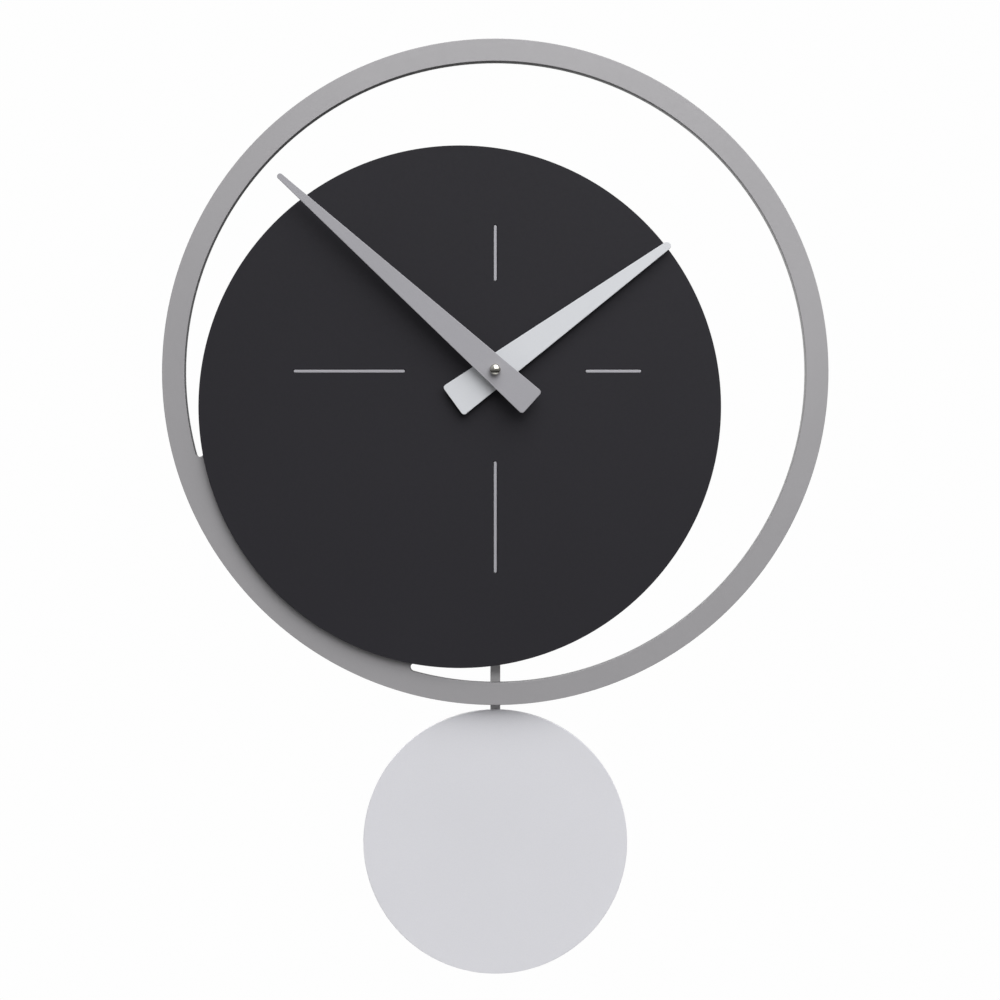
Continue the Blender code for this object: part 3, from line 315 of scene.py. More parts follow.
@dataclass(frozen=True)
class PlatedMetal:
    """Plated or turned metal: fine drawn streaks, faint clouding and bright worn spots."""

    name: str
    colour: Colour
    roughness: float = 0.22
    streaks: Sequence[float] = (1.0, 1.0, 1.0)
    clouding: float = 0.08

    def make(self) -> bpy.types.Material:
        """Builds the material.

        Returns:
            The material.
        """
        work = Brushwork(self.name)
        drawn = work.noise(900, 4, work.stretched(self.streaks))
        cloud = work.ranged(work.noise(160, 3), 0.0, 1.0)
        dull = shade_of(self.colour, 1 - 2 * self.clouding)
        work.surface(
            Base_Color=work.blend(cloud, dull, self.colour),
            Metallic=1.0,
            Roughness=work.ranged(drawn, self.roughness - 0.08, self.roughness + 0.12),
        )
        work.bump(drawn, 0.006 * MM)
        return work.material


@dataclass(frozen=True)
class MouldedPlastic:
    """Injection-moulded plastic: an eroded tool grain and slight flow marks."""

    name: str
    colour: Colour
    roughness: float = 0.45
    grain: float = 0.02 * MM
    soft: float = 0.0

    def make(self) -> bpy.types.Material:
        """Builds the material.

        Returns:
            The material.
        """
        work = Brushwork(self.name)
        flow = work.ranged(work.noise(55, 3, work.stretched((1, 1, 0.35))), 0.0, 1.0)
        tool = work.noise(1500, 3)
        work.surface(
            Base_Color=work.blend(flow, shade_of(self.colour, 0.93), shade_of(self.colour, 1.05)),
            Roughness=work.ranged(tool, self.roughness - 0.06, self.roughness + 0.10),
            Subsurface_Weight=self.soft,
            Subsurface_Radius=(1.2 * MM, 1.0 * MM, 0.8 * MM),
        )
        work.bump(tool, self.grain)
        return work.material


@dataclass(frozen=True)
class BlackRubber:
    """Moulded rubber with a powdery bloom."""

    name: str = "washer_rubber"

    def make(self) -> bpy.types.Material:
        """Builds the material.

        Returns:
            The material.
        """
        work = Brushwork(self.name)
        bloom = work.ranged(work.noise(240, 5), 0.0, 1.0, 0.45, 0.75)
        work.surface(
            Base_Color=work.blend(bloom, linear(24, 24, 25), linear(44, 43, 42)),
            Roughness=work.ranged(bloom, 0.72, 0.92, 0.0, 1.0),
        )
        work.bump(work.noise(1300, 3), 0.03 * MM)
        return work.material


class Wound(Enum):
    """The axis that wire is wound round."""

    ALONG_X = "X"
    ALONG_Y = "Y"


@dataclass(frozen=True)
class EnamelledWire:
    """Enamelled copper wire, wound side by side round an axis, with painted shade in the grooves
    between turns.
    """

    name: str
    axis: Wound
    pitch: float = 0.16 * MM  # width of one turn

    def make(self) -> bpy.types.Material:
        """Builds the material.

        Returns:
            The material.
        """
        work = Brushwork(self.name)
        wave = work.add("ShaderNodeTexWave", bands_direction=self.axis.value)
        work.feed(wave.inputs["Vector"], work.place)
        work.feed(wave.inputs["Scale"], pi / (20 * self.pitch))
        work.feed(wave.inputs["Distortion"], 0.4)
        turns_and_groove_shade = wave.outputs["Fac"]
        # Painted shade: the copper is darker in the grooves between turns and lighter on their
        # crests, following the bump's waves.
        work.surface(
            Base_Color=work.blend(turns_and_groove_shade, linear(96, 38, 18), linear(196, 96, 46)),
            Metallic=0.85,
            Roughness=work.ranged(work.noise(500, 2), 0.26, 0.4),
        )
        work.bump(turns_and_groove_shade, 0.05 * MM)
        return work.material


@dataclass(frozen=True)
class CircuitLaminate:
    """Green solder mask over copper tracks on a glass-fibre weave."""

    name: str = "board_laminate"

    def make(self) -> bpy.types.Material:
        """Builds the material.

        Returns:
            The material.
        """
        work = Brushwork(self.name)
        tracks = work.add("ShaderNodeTexBrick", offset=0.5, squash=1.0)
        work.feed(tracks.inputs["Vector"], work.stretched((1, 1, 1), (pi / 2, 0, 0)))
        for key, value in (
            ("Scale", 260.0), ("Mortar Size", 0.05), ("Mortar Smooth", 0.2),
            ("Brick Width", 1.6), ("Row Height", 0.45),
        ):
            work.feed(tracks.inputs[key], value)
        work.feed(tracks.inputs["Color1"], linear(24, 84, 50))
        work.feed(tracks.inputs["Color2"], linear(30, 96, 56))
        work.feed(tracks.inputs["Mortar"], linear(58, 132, 74))
        work.surface(
            Base_Color=tracks.outputs["Color"],
            Roughness=work.ranged(work.noise(700, 3), 0.28, 0.42),
            Coat_Weight=0.4,
        )
        work.bump(tracks.outputs["Fac"], 0.03 * MM)
        return work.material


@dataclass(frozen=True)
class BatterySleeve:
    """Printed shrink sleeve: a long dark field, a pale band and a copper shoulder."""

    name: str = "cell_sleeve"
    band: float = 9.0 * MM
    shoulder: float = 15.0 * MM
    print_edge: float = 0.1 * MM

    def make(self) -> bpy.types.Material:
        """Builds the material.

        Returns:
            The material.
        """
        work = Brushwork(self.name)
        split = work.add("ShaderNodeSeparateXYZ")
        work.feed(split.inputs["Vector"], work.place)
        along = split.outputs["X"]
        print_grain = work.ranged(work.noise(2200, 2), 0.0, 1.0)
        body = work.blend(print_grain, linear(38, 56, 92), linear(46, 66, 104))
        to_band = work.ranged(along, 0.0, 1.0, self.band, self.band + self.print_edge)
        with_band = work.blend(to_band, body, linear(206, 208, 212))
        to_shoulder = work.ranged(
            along, 0.0, 1.0, self.shoulder, self.shoulder + self.print_edge
        )
        colour = work.blend(to_shoulder, with_band, linear(186, 116, 66))
        work.surface(
            Base_Color=colour,
            Metallic=work.ranged(to_shoulder, 0.15, 0.7, 0.0, 1.0),
            Roughness=work.ranged(work.noise(300, 3), 0.22, 0.34),
            Coat_Weight=0.5,
            Coat_Roughness=0.12,
        )
        work.bump(work.noise(90, 3, work.stretched((0.3, 1, 1))), 0.05 * MM)
        return work.material


class Finish(Enum):
    """Every finish on the clock, by the part that it is on."""

    # The silver board's edge share paints shade on its sawn edges and the ring's inner walls.
    SILVER_BOARD = SatinPaint(
        "silver_board_paint", linear(160.5, 159, 161.5), 0.14, 0.46, 0.03,
        peel=0.006 * MM, edge=0.35,
    )
    CHARCOAL_BOARD = SatinPaint(
        "charcoal_dial_paint", linear(41, 40, 44.5), 0.0, 0.6, 0.06, specular=0.15
    )
    PALE_BOARD = SatinPaint("pale_bob_paint", linear(222, 222, 227), 0.0, 0.5, 0.02, 0.015)
    PALE_HAND = SatinPaint("pale_hand_paint", linear(211, 213, 217), 0.0, 0.42, 0.02, 0.01)
    SILVER_HAND = SatinPaint("silver_hand_paint", linear(160.5, 159.5, 164.5), 0.12, 0.44, 0.04)
    MARK = SatinPaint("mark_paint", linear(167, 166, 172), 0.15, 0.45, 0.05)
    ROD = SatinPaint("silver_rod_paint", linear(202, 201, 202), 0.2, 0.42, 0.03)
    NICKEL = PlatedMetal("turned_nickel", linear(206, 204, 196), 0.16)
    STEEL = PlatedMetal("zinc_plated_steel", linear(178, 180, 184), 0.34, (1, 1, 0.06))
    BRASS = PlatedMetal("turned_brass", linear(208, 172, 96), 0.26)
    MAGNET = PlatedMetal("magnet_plating", linear(120, 120, 124), 0.3)
    CASE = MouldedPlastic("black_case_plastic", linear(30, 30, 32), 0.46, 0.03 * MM)
    CHIP = MouldedPlastic("chip_resin", linear(22, 22, 23), 0.55, 0.015 * MM)
    WHITE = MouldedPlastic("white_gear_plastic", linear(226, 224, 214), 0.4, 0.008 * MM, 0.15)
    RUBBER = BlackRubber()
    COIL_WIRE = EnamelledWire("motor_coil_wire", Wound.ALONG_X)
    DRIVE_WIRE = EnamelledWire("drive_coil_wire", Wound.ALONG_Y)
    LAMINATE = CircuitLaminate()
    SLEEVE = BatterySleeve()

    def material(self) -> bpy.types.Material:
        """This finish's material, built the first time that it is asked for."""
        return bpy.data.materials.get(self.value.name) or self.value.make()


# ------------------------------------------------------------------ shaping


def point(place: Place, out: float) -> Vector:
    """The point at x and z, at this distance out from the wall."""
    return Vector((place[0], -out, place[1]))


def polar(middle: Place, radius: float, angle: float) -> Place:
    """Finds the place at a distance and an angle from another.

    Args:
        middle: x and z that it is measured from.
        radius: the distance.
        angle: degrees anticlockwise from the right, as seen from the front.

    Returns:
        Its x and z.
    """
    return (
        middle[0] + radius * cos(radians(angle)),
        middle[1] + radius * sin(radians(angle)),
    )


def verts_in(made: Iterable[Any]) -> list[bmesh.types.BMVert]:
    """The vertices among the geometry that an operator made."""
    return [item for item in made if isinstance(item, bmesh.types.BMVert)]


class Carve(Enum):
    """What a tool's shape does to the piece that it is used on."""

    CUT = "DIFFERENCE"
    JOIN = "UNION"
    KEEP = "INTERSECT"


class Body(Enum):
    """The CAD bodies that the pieces ride on."""

    MOVEMENT = "movement"
    HOUR = "hour"
    MINUTE = "minute"
    PENDULUM = "pendulum"
    SETTING_KNOB = "setting_knob"
    BATTERY = "battery"


class Outline:
    """A line drawn with straight runs and arcs, at one distance out from the wall."""

    def __init__(self, form: bmesh.types.BMesh, out: float, start: Place) -> None:
        """Sets the first point.

        Args:
            form: the bmesh that it is drawn in.
            out: distance from the wall.
            start: x and z of the first point.
        """
        self.form = form
        self.out = out
        self.first = bmesh.ops.create_vert(form, co=point(start, out))["vert"][0]
        self.last = self.first

    def line(self, *places: Place) -> "Outline":
        """Draws straight lines.

        Args:
            places: x and z of each point that they run through.

        Returns:
            This outline.
        """
        for place in places:
            self.last = bmesh.ops.extrude_vert_indiv(self.form, verts=[self.last])["verts"][0]
            self.last.co = point(place, self.out)
        return self

    def turn(self, centre: Place, angle: float, steps: int = 8) -> "Outline":
        """Draws an arc.

        Args:
            centre: x and z of the middle of the arc.
            angle: degrees, anticlockwise as seen from the front.
            steps: straight pieces in the arc.

        Returns:
            This outline.
        """
        made = bmesh.ops.spin(
            self.form, geom=[self.last], cent=point(centre, self.out), axis=FACING,
            angle=radians(angle), steps=steps,
        )
        self.last = verts_in(made["geom_last"])[0]
        return self

    def close(self) -> None:
        """Joins the last point to the first."""
        if (self.last.co - self.first.co).length < 0.01 * MM:
            bmesh.ops.weld_verts(self.form, targetmap={self.last: self.first})
        else:
            bmesh.ops.contextual_create(self.form, geom=[self.last, self.first])


def ring(form: bmesh.types.BMesh, out: float, middle: Place, radius: float, sides: int) -> None:
    """Draws a circle round a place."""
    matrix = Matrix.Translation(point(middle, out)) @ Matrix.Rotation(pi / 2, 4, "X")
    bmesh.ops.create_circle(form, segments=sides, radius=radius, matrix=matrix)


def slot_outline(
    form: bmesh.types.BMesh, out: float, near: Place, far: Place, width: float
) -> None:
    """Draws a bar with round ends.

    Args:
        form: the bmesh that it is drawn in.
        out: distance from the wall.
        near: centre of one end.
        far: centre of the other end.
        width: of the bar.
    """
    heading = degrees(Vector((far[0] - near[0], far[1] - near[1])).angle_signed((1, 0)))
    line = Outline(form, out, polar(far, width / 2, heading - 90))
    line.turn(far, 180, 12).line(polar(near, width / 2, heading + 90)).turn(near, 180, 12).close()


def rounded_box(
    form: bmesh.types.BMesh, out: float, across: Sequence[float], up: Sequence[float], corner: float
) -> None:
    """Draws a rectangle with round corners.

    Args:
        form: the bmesh that it is drawn in.
        out: distance from the wall.
        across: low and high x.
        up: low and high z.
        corner: radius of the corners.
    """
    (left, right), (low, high) = across, up
    line = Outline(form, out, (right - corner, low))
    line.turn((right - corner, low + corner), 90, 6).line((right, high - corner))
    line.turn((right - corner, high - corner), 90, 6).line((left + corner, high))
    line.turn((left + corner, high - corner), 90, 6).line((left, low + corner))
    line.turn((left + corner, low + corner), 90, 6).close()


def soften(
    form: bmesh.types.BMesh, cap: list[bmesh.types.BMFace], radius: float, steps: int
) -> None:
    """Rounds over the edges of a flat side by insets that follow a quarter circle.

    Args:
        form: the plate.
        cap: the faces of the flat side.
        radius: of the round-over.
        steps: insets in the quarter circle.
    """
    for step in range(steps):
        start, end = (pi / 2 * (step + i) / steps for i in (0, 1))
        bmesh.ops.inset_region(
            form, faces=cap, thickness=radius * (cos(start) - cos(end)),
            depth=radius * (sin(end) - sin(start)), use_even_offset=True, use_boundary=True,
        )


def plate(
    outlines: Draw, out: float, thickness: float, round_over: float = 0.25 * MM, steps: int = 3
) -> bmesh.types.BMesh:
    """Cuts a plate and rounds over its edges.

    Args:
        outlines: draws the plate's edge and its holes in a bmesh, at a distance out.
        out: distance of the plate's back from the wall.
        thickness: of the plate.
        round_over: radius of its edges.
        steps: faces across each round-over.

    Returns:
        A closed bmesh whose back and front are flat shaded.
    """
    form = bmesh.new()
    outlines(form, out + round_over)
    bmesh.ops.remove_doubles(form, verts=form.verts, dist=SAME)
    bmesh.ops.triangle_fill(form, use_beauty=True, edges=form.edges[:])
    made = bmesh.ops.extrude_face_region(form, geom=form.faces[:])["geom"]
    bmesh.ops.translate(form, vec=FACING * (thickness - 2 * round_over), verts=verts_in(made))
    bmesh.ops.recalc_face_normals(form, faces=form.faces[:])
    caps = [[face for face in form.faces if face.normal.y * side > 0.9] for side in (-1, 1)]
    for face in form.faces:
        face.smooth = True
    for cap in caps:
        soften(form, cap, round_over, steps)
        for face in cap:
            face.smooth = False
    return form


def turned(
    profile: Sequence[tuple[float, float]], middle: Place = SPINDLE, round_over: float = 0.1 * MM,
    sides: int = 64,
) -> bmesh.types.BMesh:
    """Turns a piece about an axis that points out from the wall.

    Args:
        profile: (radius, out) points down its outer side. It closes on itself unless it starts
            and ends on the axis.
        middle: x and z of the axis.
        round_over: radius of the corners.
        sides: steps of the full turn.

    Returns:
        A closed bmesh.
    """
    form = bmesh.new()
    line = None
    for radius, out in profile:
        place = point((middle[0] + radius, middle[1]), out)
        made = bmesh.ops.create_vert(form, co=place)["vert"][0]
        if line:
            bmesh.ops.contextual_create(form, geom=[line, made])
        line = made
    form.verts.ensure_lookup_table()
    if profile[0][0] > 0:
        bmesh.ops.contextual_create(form, geom=[form.verts[0], form.verts[-1]])
    corners = [vert for vert in form.verts if len(vert.link_edges) == 2]
    if round_over:
        bmesh.ops.bevel(
            form, geom=corners, offset=round_over, offset_type="OFFSET", segments=3,
            profile=0.5, affect="VERTICES", material=-1, clamp_overlap=True,
        )
    bmesh.ops.spin(
        form, geom=form.verts[:] + form.edges[:], cent=point(middle, 0), axis=FACING,
        angle=tau, steps=sides, use_merge=True,
    )
    bmesh.ops.remove_doubles(form, verts=form.verts, dist=SAME)
    bmesh.ops.recalc_face_normals(form, faces=form.faces[:])
    for face in form.faces:
        face.smooth = True
    return form


def to_right(form: bmesh.types.BMesh, out: float, height: float) -> bmesh.types.BMesh:
    """Lays a piece that was turned about the spindle along +X instead.

    Args:
        form: the piece.
        out: distance of its new axis from the wall.
        height: of its new axis.

    Returns:
        The same bmesh.
    """
    bmesh.ops.rotate(form, cent=(0, 0, 0), matrix=Matrix.Rotation(pi / 2, 3, "Z"), verts=form.verts)
    bmesh.ops.translate(form, vec=(0, -out, height), verts=form.verts)
    return form


def sideways(form: bmesh.types.BMesh) -> bmesh.types.BMesh:
    """Turns a plate drawn as (out, z) so that its thickness runs along X.

    Args:
        form: the plate.

    Returns:
        The same bmesh.
    """
    turn = Matrix.Rotation(-pi / 2, 3, "Z")
    bmesh.ops.rotate(form, cent=(0, 0, 0), matrix=turn, verts=form.verts)
    return form


def level(form: bmesh.types.BMesh, height: float) -> bmesh.types.BMesh:
    """Turns a plate drawn as (x, out) so that its thickness runs along Z.

    Args:
        form: the plate.
        height: z of the plane that was y = 0.

    Returns:
        The same bmesh.
    """
    bmesh.ops.rotate(form, cent=(0, 0, 0), matrix=Matrix.Rotation(pi / 2, 3, "X"), verts=form.verts)
    bmesh.ops.translate(form, vec=(0, 0, height), verts=form.verts)
    return form


def box_form(
    across: Sequence[float], out: Sequence[float], up: Sequence[float], round_over: float,
    upright: float = 0.0,
) -> bmesh.types.BMesh:
    """Makes a box with round edges between (low, high) pairs.

    Args:
        across: in x.
        out: distances from the wall.
        up: in z.
        round_over: radius of every edge.
        upright: a larger radius for the four edges that run out from the wall, or 0.

    Returns:
        A closed bmesh.
    """
    form = bmesh.new()
    size = Vector((across[1] - across[0], out[1] - out[0], up[1] - up[0]))
    middle = Vector((sum(across) / 2, -sum(out) / 2, sum(up) / 2))
    matrix = Matrix.Translation(middle) @ Matrix.Diagonal((*size, 1))
    bmesh.ops.create_cube(form, size=1, matrix=matrix)
    if upright:
        running = [
            edge for edge in form.edges
            if abs((edge.verts[0].co - edge.verts[1].co).normalized().y) > 0.9
        ]
        bmesh.ops.bevel(
            form, geom=running, offset=upright, offset_type="OFFSET", segments=6, profile=0.5,
            affect="EDGES", material=-1,
        )
    sharp = [edge for edge in form.edges if edge.calc_face_angle(0) > radians(50)]
    bmesh.ops.bevel(
        form, geom=sharp, offset=round_over, offset_type="OFFSET", segments=3, profile=0.5,
        affect="EDGES", material=-1,
    )
    return form


def piece(
    name: str, form: bmesh.types.BMesh, finish: Finish, sharp: float = 40.0
) -> bpy.types.Object:
    """Makes an object of a bmesh, at the origin.

    Args:
        name: of the object.
        form: its shape, in place. It is freed.
        finish: its finish.
        sharp: degrees between faces above which an edge is shaded sharp.

    Returns:
        The object.
    """
    mesh = bpy.data.meshes.new(name)
    form.to_mesh(mesh)
    form.free()
    smooth = [polygon.use_smooth for polygon in mesh.polygons]
    mesh.set_sharp_from_angle(angle=radians(sharp))
    mesh.polygons.foreach_set("use_smooth", smooth)
    mesh.materials.append(finish.material())
    made = bpy.data.objects.new(name, mesh)
    bpy.context.scene.collection.objects.link(made)
    return made


def carved(
    target: bpy.types.Object, forms: Sequence[bmesh.types.BMesh], how: Carve = Carve.CUT
) -> bpy.types.Object:
    """Cuts shapes from a piece, or joins them to it.

    Args:
        target: the piece, whose mesh is changed.
        forms: closed shapes. They are freed.
        how: what they do to the piece.

    Returns:
        The piece.
    """
    tools = []
    for form in forms:
        mesh = bpy.data.meshes.new("tool")
        form.to_mesh(mesh)
        form.free()
        tool = bpy.data.objects.new("tool", mesh)
        bpy.context.scene.collection.objects.link(tool)
        boolean = target.modifiers.new("Carve", "BOOLEAN")
        boolean.operation, boolean.object, boolean.solver = how.value, tool, "EXACT"
        tools.append(tool)
    graph = bpy.context.evaluated_depsgraph_get()
    mesh = bpy.data.meshes.new_from_object(target.evaluated_get(graph))
    target.modifiers.clear()
    old, target.data = target.data, mesh
    bpy.data.meshes.remove(old)
    for tool in tools:
        bpy.data.meshes.remove(tool.data)
    return target


def shaded(target: bpy.types.Object, sharp: float) -> bpy.types.Object:
    """Shades a carved piece smooth.

    Args:
        target: the piece.
        sharp: degrees between faces above which an edge stays sharp.

    Returns:
        The piece.
    """
    for polygon in target.data.polygons:
        polygon.use_smooth = True
    target.data.set_sharp_from_angle(angle=radians(sharp))
    return target


def install(made: bpy.types.Object, body: Body, slot: str, *nodes: str) -> None:
    """Makes a finished piece ride on a body and stand for its solids.

    Args:
        made: the piece.
        body: the CAD body that it moves with.
        slot: not used.
        nodes: CAD nodes that it replaces.
    """
    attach(made, body.value)
    note = "added"
    if nodes:
        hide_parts(*nodes)
        boxes = [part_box(node) for node in nodes]
        off = 0.0
        for axis in range(3):
            low = min(corner[axis] for corner in made.bound_box)
            high = max(corner[axis] for corner in made.bound_box)
            off = max(off, abs(low - min(box[0][axis] for box in boxes)))
            off = max(off, abs(high - max(box[1][axis] for box in boxes)))
        note = f"box within {off / MM:.2f} mm of its solid"
    log.info("%s on %s, %s faces, %s", made.name, body.value, len(made.data.polygons), note)


def cross_recess(
    place: Place, out: float, across: float, depth: float
) -> list[bmesh.types.BMesh]:
    """Makes tools for a cross recess in a screw head that faces the wall.

    Args:
        place: x and z of the screw.
        out: distance of the head's top from the wall.
        across: length of the cross.
        depth: of the cross.

    Returns:
        Two crossed bars and a conical well, to be cut away.
    """
    (x, z), wide, clear = place, 0.3 * MM, out - 1 * MM
    bars = [
        box_form((x - a, x + a), (clear, out + depth), (z - b, z + b), 0.05 * MM)
        for a, b in ((across / 2, wide), (wide, across / 2))
    ]
    well = [
        (0, out + 1.25 * depth), (0.8 * wide, out + 1.2 * depth), (2.6 * wide, clear), (0, clear)
    ]
    return bars + [turned(well, place, 0, 24)]


def dress(finish: Finish, *nodes: str) -> None:
    """Gives solids that stay in view a finish.

    Args:
        finish: the finish.
        nodes: names of the CAD nodes.
    """
    for node in nodes:
        for slot in frame["nodes"][node].material_slots:
            slot.material = finish.material()
        log.info("%s keeps its solid, in %s", node, finish.value.name)


# ------------------------------------------------------------------ plate, dial and marks


@dataclass
class RingPlate:
    """The silver ring plate: a rim, a crescent cut-out and the web behind the dial."""

    radius: float = 200.0 * MM
    rim: float = 13.5 * MM
    out: float = 26.0 * MM
    thickness: float = 6.0 * MM
    end_radius: float = 2.47 * MM
    web_radius: float = 156.2 * MM
    web_offset: float = 30.0 * MM
    web_direction: float = -135.0
    bush_hole: float = 4.3 * MM
    edge_steps: int = 288
    rim_steps: int = 200
    web_steps: int = 190
    end_steps: int = 10

    def outlines(self, form: bmesh.types.BMesh, out: float) -> None:
        """Draws the edge, the crescent and the hole for the bush.

        Args:
            form: the bmesh that they are drawn in.
            out: distance from the wall.
        """
        ring(form, out, SPINDLE, self.radius, self.edge_steps)
        ring(form, out, SPINDLE, self.bush_hole, HOLE_STEPS)
        self.crescent(form, out)

    def crescent(self, form: bmesh.types.BMesh, out: float) -> None:
        """Draws the crescent, with a small round end at each tip.

        Args:
            form: the bmesh that it is drawn in.
            out: distance from the wall.
        """
        rim, end = self.radius - self.rim, self.end_radius
        web = polar(SPINDLE, self.web_offset, self.web_direction)
        to_rim, to_web = rim - end, self.web_radius + end
        off = degrees(
            acos((self.web_offset**2 + to_rim**2 - to_web**2) / (2 * self.web_offset * to_rim))
        )
        left, right = self.web_direction - off, self.web_direction + off
        far, near = (polar(SPINDLE, to_rim, angle) for angle in (left, right))
        toward = [
            degrees(Vector((x - web[0], z - web[1])).angle_signed((1, 0))) for x, z in (far, near)
        ]
        line = Outline(form, out, polar(SPINDLE, rim, right))
        line.turn(SPINDLE, left + 360 - right, self.rim_steps)
        line.turn(far, (toward[0] + 180) - left, self.end_steps)
        line.turn(web, toward[1] - (toward[0] + 360), self.web_steps)
        line.turn(near, (right + 360) - (toward[1] + 180), self.end_steps).close()

    def build(self) -> None:
        """Builds the plate."""
        form = plate(self.outlines, self.out, self.thickness, 0.3 * MM, 3)
        made = piece("ring_plate_board", form, Finish.SILVER_BOARD)
        install(made, Body.MOVEMENT, "silver_board", "ring_plate")


@dataclass
class HourMark:
    """One bar let into the dial."""

    hour: str
    angle: float
    share: float  # how far out it ends, as a share of the way to the dial's edge


@dataclass
class Dial:
    """The charcoal dial disc and the four hour marks let into it."""

    radius: float = 156.2 * MM
    thickness: float = 4.0 * MM
    out: float = 32.3 * MM
    offset: float = 30.0 * MM
    direction: float = -135.0
    bush_hole: float = 4.3 * MM
    edge_steps: int = 288
    mark_width: float = 1.7 * MM
    mark_start: float = 0.3457  # how far out the marks start, as a share of the radius
    marks: tuple[HourMark, ...] = (
        HourMark("12", 90, 0.653), HourMark("3", 0, 0.653),
        HourMark("6", -90, 0.6847), HourMark("9", 180, 0.6847),
    )

    @property
    def middle(self) -> Place:
        """Where the middle of the dial is."""
        return polar(SPINDLE, self.offset, self.direction)

    def edge(self, angle: float) -> float:
        """Measures from the spindle to the dial's edge.

        Args:
            angle: direction in degrees.

        Returns:
            The distance.
        """
        off = radians(angle - self.direction)
        return self.offset * cos(off) + sqrt(self.radius**2 - (self.offset * sin(off)) ** 2)

    def ends(self, mark: HourMark) -> tuple[Place, Place]:
        """Finds the centres of a mark's round ends.

        Args:
            mark: the mark.

        Returns:
            The near and the far centre.
        """
        half = self.mark_width / 2
        near = self.radius * self.mark_start + half
        far = self.edge(mark.angle) * mark.share - half
        return polar(SPINDLE, near, mark.angle), polar(SPINDLE, far, mark.angle)

    def outlines(self, form: bmesh.types.BMesh, out: float) -> None:
        """Draws the disc, its hole for the bush and the slots for the marks.

        Args:
            form: the bmesh that they are drawn in.
            out: distance from the wall.
        """
        ring(form, out, self.middle, self.radius, self.edge_steps)
        ring(form, out, SPINDLE, self.bush_hole, HOLE_STEPS)
        for mark in self.marks:
            slot_outline(form, out, *self.ends(mark), self.mark_width + 2 * GAP)

    def build(self) -> None:
        """Builds the disc and the marks."""
        disc = plate(self.outlines, self.out, self.thickness, 0.25 * MM, 3)
        made = piece("dial_board", disc, Finish.CHARCOAL_BOARD)
        install(made, Body.MOVEMENT, "charcoal_board", "dial_disc")
        for mark in self.marks:
            near, far = self.ends(mark)
            draw = partial(slot_outline, near=near, far=far, width=self.mark_width)
            bar = plate(draw, self.out, self.thickness, 0.2 * MM, 2)
            made = piece(f"mark_bar_{mark.hour}", bar, Finish.MARK)
            install(made, Body.MOVEMENT, "mark_bar", f"mark_{mark.hour}")


# ------------------------------------------------------------------ hands and spindle


@dataclass
class Hand:
    """A tapered sheet-metal hand with a round tip and a blunt tail."""

    name: str
    body: Body
    slot: str
    finish: Finish
    out: float
    bore: float
    angle: float  # degrees clockwise from 12
    reach: float
    tail: float
    tip_width: float
    tail_width: float
    corner: float = 2.0 * MM
    thickness: float = 1.0 * MM

    def outlines(self, form: bmesh.types.BMesh, out: float) -> None:
        """Draws the hand pointing up, with its hole.

        Args:
            form: the bmesh that it is drawn in.
            out: distance from the wall.
        """
        tip, low, corner = self.tip_width / 2, self.tail_width / 2, self.corner
        side = degrees(asin((low - tip) / (self.reach + self.tail - tip)))
        right, left = ((x, corner - self.tail) for x in (low - corner, corner - low))
        end = (0, self.reach - tip)
        line = Outline(form, out, (left[0], -self.tail)).line((right[0], -self.tail))
        line.turn(right, 90 + side, 8).line(polar(end, tip, side))
        line.turn(end, 180 - 2 * side, 14).line(polar(left, corner, 180 - side))
        line.turn(left, 90 + side, 8).close()
        ring(form, out, SPINDLE, self.bore, HOLE_STEPS)

    def build(self) -> None:
        """Builds the hand, turned to its hour."""
        form = plate(self.outlines, self.out, self.thickness, 0.22 * MM, 3)
        turn = Matrix.Rotation(radians(self.angle), 3, "Y")
        bmesh.ops.rotate(form, cent=(0, 0, 0), matrix=turn, verts=form.verts)
        made = piece(f"{self.name}_blade", form, self.finish)
        install(made, self.body, self.slot, self.name)


